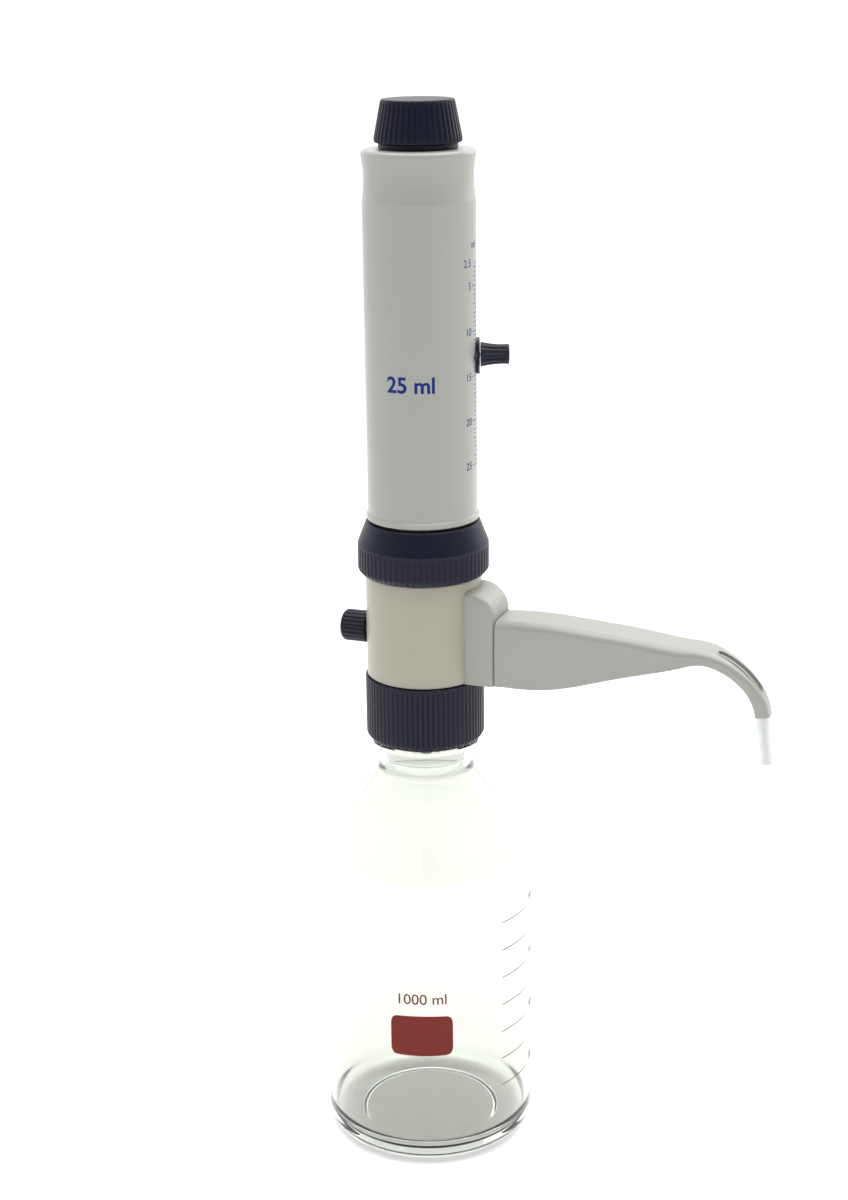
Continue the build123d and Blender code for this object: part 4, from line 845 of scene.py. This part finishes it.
class DISPENSER_OT_knobs(bpy.types.Operator):
    """Makes the top knob, the purge knob and the fluted volume knob"""

    bl_idname = "dispenser.knobs"
    bl_label = "Make the knobs"

    def execute(self, context):
        sizes = context.scene.rib_sizes
        self.top_knob(sizes.cap_ribs, sizes.groove_depth)
        self.purge_knob(sizes.purge_ribs)
        self.volume_knob(sizes.flutes)
        return {"FINISHED"}

    def top_knob(self, ribs, depth):
        low, high = node_box("top_knob")
        bottom, top = low.z, high.z
        ceiling = bottom + 13
        socket_end = bottom + 10.1
        outline = [
            (0, top, 0), (16.2, top, 0.9), (19.45, bottom + 4.6, 1.2), (19.45, bottom + 2.7, 0.6),
            (17.6, bottom + 2.0, 0.4), (17.6, bottom, 0.3), (13.5, bottom, 0.2), (13.5, ceiling, 0.5),
            (7.0, ceiling, 0.5), (7.0, bottom, 0.2), (4.05, bottom, 0), (4.05, socket_end, 0),
            (0, socket_end, 0),
        ]
        profile = divided(rounded(outline), 1.3)
        mesh = ribbed("top_knob_ribs", profile, ribs, depth, bottom + 3.2, top - 1.0, 14.6, share=0.6)
        ribbed_piece("top_knob_ribs", mesh, "cap", "top_knob")

    def purge_knob(self, ribs):
        low, high = node_box("purge_knob")
        foot, tip, socket_end = 27.8, 40.4, 34.1
        outline = [
            (0, tip, 0), (7.5, tip, 2.2), (7.5, foot, 0.4), (3.5, foot, 0), (3.5, socket_end, 0),
            (0, socket_end, 0),
        ]
        profile = divided(rounded(outline), 0.8)
        mesh = ribbed("purge_knob_ribs", profile, ribs, 0.4, 28.4, 38.2, 5.6, fade=0.8)
        lift = Matrix.Translation((0, 0, (low.z + high.z) / 2 * MM))
        outward = Matrix.Rotation(radians(PURGE_AZIMUTH), 4, "Z") @ Matrix.Rotation(pi / 2, 4, "Y")
        mesh.transform(lift @ outward)
        ribbed_piece("purge_knob_ribs", mesh, "purge", "purge_knob")

    def volume_knob(self, flutes):
        low, high = node_box("volume_knob")
        start, end = low.x, high.x
        waist_share = 0.72
        waist_radius = 4.45
        socket_radius, socket_end = 1.55, start + 11.3
        profile = [(0, socket_end), (socket_radius, socket_end), (socket_radius, start)]
        for k in range(16):
            share = k / 16
            if share < waist_share:
                radius = waist_radius + 1.2 * ((waist_share - share) / waist_share) ** 1.7
            else:
                radius = waist_radius + 0.1 * ((share - waist_share) / (1 - waist_share))
            profile.append((radius, start + share * (end - start)))
        profile += rounded([(4.52, end - 1.2, 0), (4.55, end, 0.9), (0, end, 0)])
        mesh = ribbed(
            "volume_knob_flutes", profile, flutes, 0.42, start + 0.4, end - 1.6, 3.0,
            share=0.75, fade=0.6, cuts=14,
        )
        lift = Matrix.Translation((0, 0, (low.z + high.z) / 2 * MM))
        mesh.transform(lift @ Matrix.Rotation(pi / 2, 4, "Y"))
        ribbed_piece("volume_knob_flutes", mesh, "volume", "volume_knob")


class DISPENSER_OT_sleeve_print(bpy.types.Operator):
    """Prints the sleeve's volume scale and its capacity"""

    bl_idname = "dispenser.sleeve_print"
    bl_label = "Print the sleeve"

    def execute(self, context):
        sizes = context.scene.scale_sizes
        blue = ink("Blue ink", tuple(context.scene.plastic_colours.blue_ink))
        thickness = sizes.ink_thickness
        digit = sizes.digit_height
        lowest = sizes.zero_height - FULL_VOLUME * sizes.millilitre
        values = {
            "Count": int((FULL_VOLUME - LEAST_VOLUME) * STROKES_PER_MILLILITRE) + 1,
            "Step": sizes.millilitre / STROKES_PER_MILLILITRE * MM, "First Height": lowest * MM,
            "Radius": SLEEVE_RADIUS * MM, "End Angle": radians(SCALE_END), "Short": 3.0 * MM,
            "Middle": 4.2 * MM, "Long": 5.6 * MM, "Middle Every": 2, "Long Every": 10,
            "Stroke": SCALE_STROKE * MM, "Ink": thickness * MM, "Material": blue,
        }
        prints = [grown(bpy.data.meshes.new("sleeve_strokes"), scale_tree, values)]
        under_zero = sizes.zero_height - UNIT_DROP
        prints.append(printed_text("unit", "ml", digit, SLEEVE_RADIUS, UNIT_AZIMUTH, under_zero, thickness))
        prints.append(
            printed_text(
                "capacity", "25 ml", sizes.capacity_height, SLEEVE_RADIUS, SLEEVE_CAPACITY_AZIMUTH,
                SLEEVE_CAPACITY_MIDDLE, thickness, bold=0.22,
            )
        )
        for volume in (LEAST_VOLUME, 5, 10, 15, 20, FULL_VOLUME):
            middle = sizes.zero_height - volume * sizes.millilitre
            prints.append(
                printed_text(
                    "digits", str(volume), digit, SLEEVE_RADIUS, DIGIT_AZIMUTH, middle, thickness, "RIGHT"
                )
            )
        whole = joined("sleeve_print", prints)
        replace_nodes(mesh_piece("sleeve_print", whole, blue), "piston", "white_plastic")
        return {"FINISHED"}


class DISPENSER_OT_stage(bpy.types.Operator):
    """Sets the pale floor, the soft light and the photograph's camera"""

    bl_idname = "dispenser.stage"
    bl_label = "Set the stage"

    def execute(self, context):
        self.floor()
        context.scene.world = self.studio()
        for light in LIGHTS:
            self.lamp(*light)
        context.scene.camera = self.camera()
        context.scene.view_settings.view_transform = "Standard"
        return {"FINISHED"}

    def floor(self):
        mesh = bpy.data.meshes.new("floor")
        edit = bmesh.new()
        bmesh.ops.create_grid(edit, x_segments=8, y_segments=8, size=60.0)
        edit.to_mesh(mesh)
        edit.free()
        material, _, _ = principled(
            "Pale floor", Base_Color=(0.93, 0.93, 0.93, 1.0), Roughness=0.9,
            Emission_Color=(1.0, 1.0, 1.0, 1.0), Emission_Strength=0.36,
        )
        floor = mesh_piece("floor", mesh, material)
        floor.location.z = -0.05 * MM

    def studio(self):
        """A world that lights mostly from behind the object, and looks even and pale itself."""
        world = bpy.data.worlds.new("Studio")
        world.use_nodes = True
        wire = Wiring(world.node_tree)
        background = world.node_tree.nodes["Background"].inputs
        depth = wire.parts(wire.node("ShaderNodeTexCoord").outputs["Generated"])[1]
        light = wire.made(
            "ShaderNodeMapRange",
            {"Value": depth, "From Min": -1.0, "From Max": 0.6, "To Min": 0.05, "To Max": 1.35},
        )
        seen = wire.node("ShaderNodeLightPath").outputs["Is Camera Ray"]
        wire.put(background["Color"], (0.97, 0.985, 1.0, 1.0))
        wire.put(background["Strength"], wire.maths("MAXIMUM", light, seen))
        return world

    def lamp(self, name, place, size, power, aim):
        """A square soft light that faces its aim."""
        data = bpy.data.lights.new(name, "AREA")
        data.shape = "SQUARE"
        data.size = size
        data.energy = power
        lamp = bpy.data.objects.new(name, data)
        lamp.location = place
        lamp.rotation_euler = (Vector(aim) - Vector(place)).to_track_quat("-Z", "Y").to_euler()
        bpy.context.scene.collection.objects.link(lamp)

    def camera(self):
        """The photograph's camera."""
        data = bpy.data.cameras.new("camera")
        data.sensor_fit = "VERTICAL"
        data.sensor_height = SENSOR
        data.sensor_width = SENSOR
        data.lens = FOCAL_PIXELS * SENSOR / PHOTO_HEIGHT_PIXELS
        camera = bpy.data.objects.new("camera", data)
        camera.matrix_world = (
            Matrix.Translation(CAMERA_PLACE)
            @ Matrix.Rotation(radians(90 - CAMERA_PITCH), 4, "X")
            @ Matrix.Rotation(radians(CAMERA_ROLL), 4, "Z")
        )
        bpy.context.scene.collection.objects.link(camera)
        return camera


class DISPENSER_PT_panel(bpy.types.Panel):
    bl_label = "Bottle-top dispenser"
    bl_idname = "DISPENSER_PT_panel"
    bl_space_type = "VIEW_3D"
    bl_region_type = "UI"
    bl_category = "Dispenser"

    def draw(self, context):
        for group in GROUPS:
            box = self.layout.box()
            for key in GROUPS[group].__annotations__:
                box.prop(getattr(context.scene, group), key)
        for operator in OPERATORS:
            self.layout.operator(operator.bl_idname)


GROUPS = {
    "plastic_colours": PlasticColours,
    "rib_sizes": RibSizes,
    "scale_sizes": ScaleSizes,
    "bottle_sizes": BottleSizes,
}
OPERATORS = (
    DISPENSER_OT_finishes,
    DISPENSER_OT_bottle,
    DISPENSER_OT_bottle_print,
    DISPENSER_OT_rings,
    DISPENSER_OT_knobs,
    DISPENSER_OT_sleeve_print,
    DISPENSER_OT_stage,
)


def register():
    for entry in (*GROUPS.values(), *OPERATORS, DISPENSER_PT_panel):
        bpy.utils.register_class(entry)
    for group, entry in GROUPS.items():
        setattr(bpy.types.Scene, group, bpy.props.PointerProperty(type=entry))


def unregister():
    for group in GROUPS:
        delattr(bpy.types.Scene, group)
    for entry in reversed((*GROUPS.values(), *OPERATORS, DISPENSER_PT_panel)):
        bpy.utils.unregister_class(entry)


def main():
    register()
    bpy.ops.dispenser.finishes()
    bpy.ops.dispenser.bottle()
    bpy.ops.dispenser.bottle_print()
    bpy.ops.dispenser.rings()
    bpy.ops.dispenser.knobs()
    bpy.ops.dispenser.sleeve_print()
    bpy.ops.dispenser.stage()


if __name__ == "__main__":
    main()
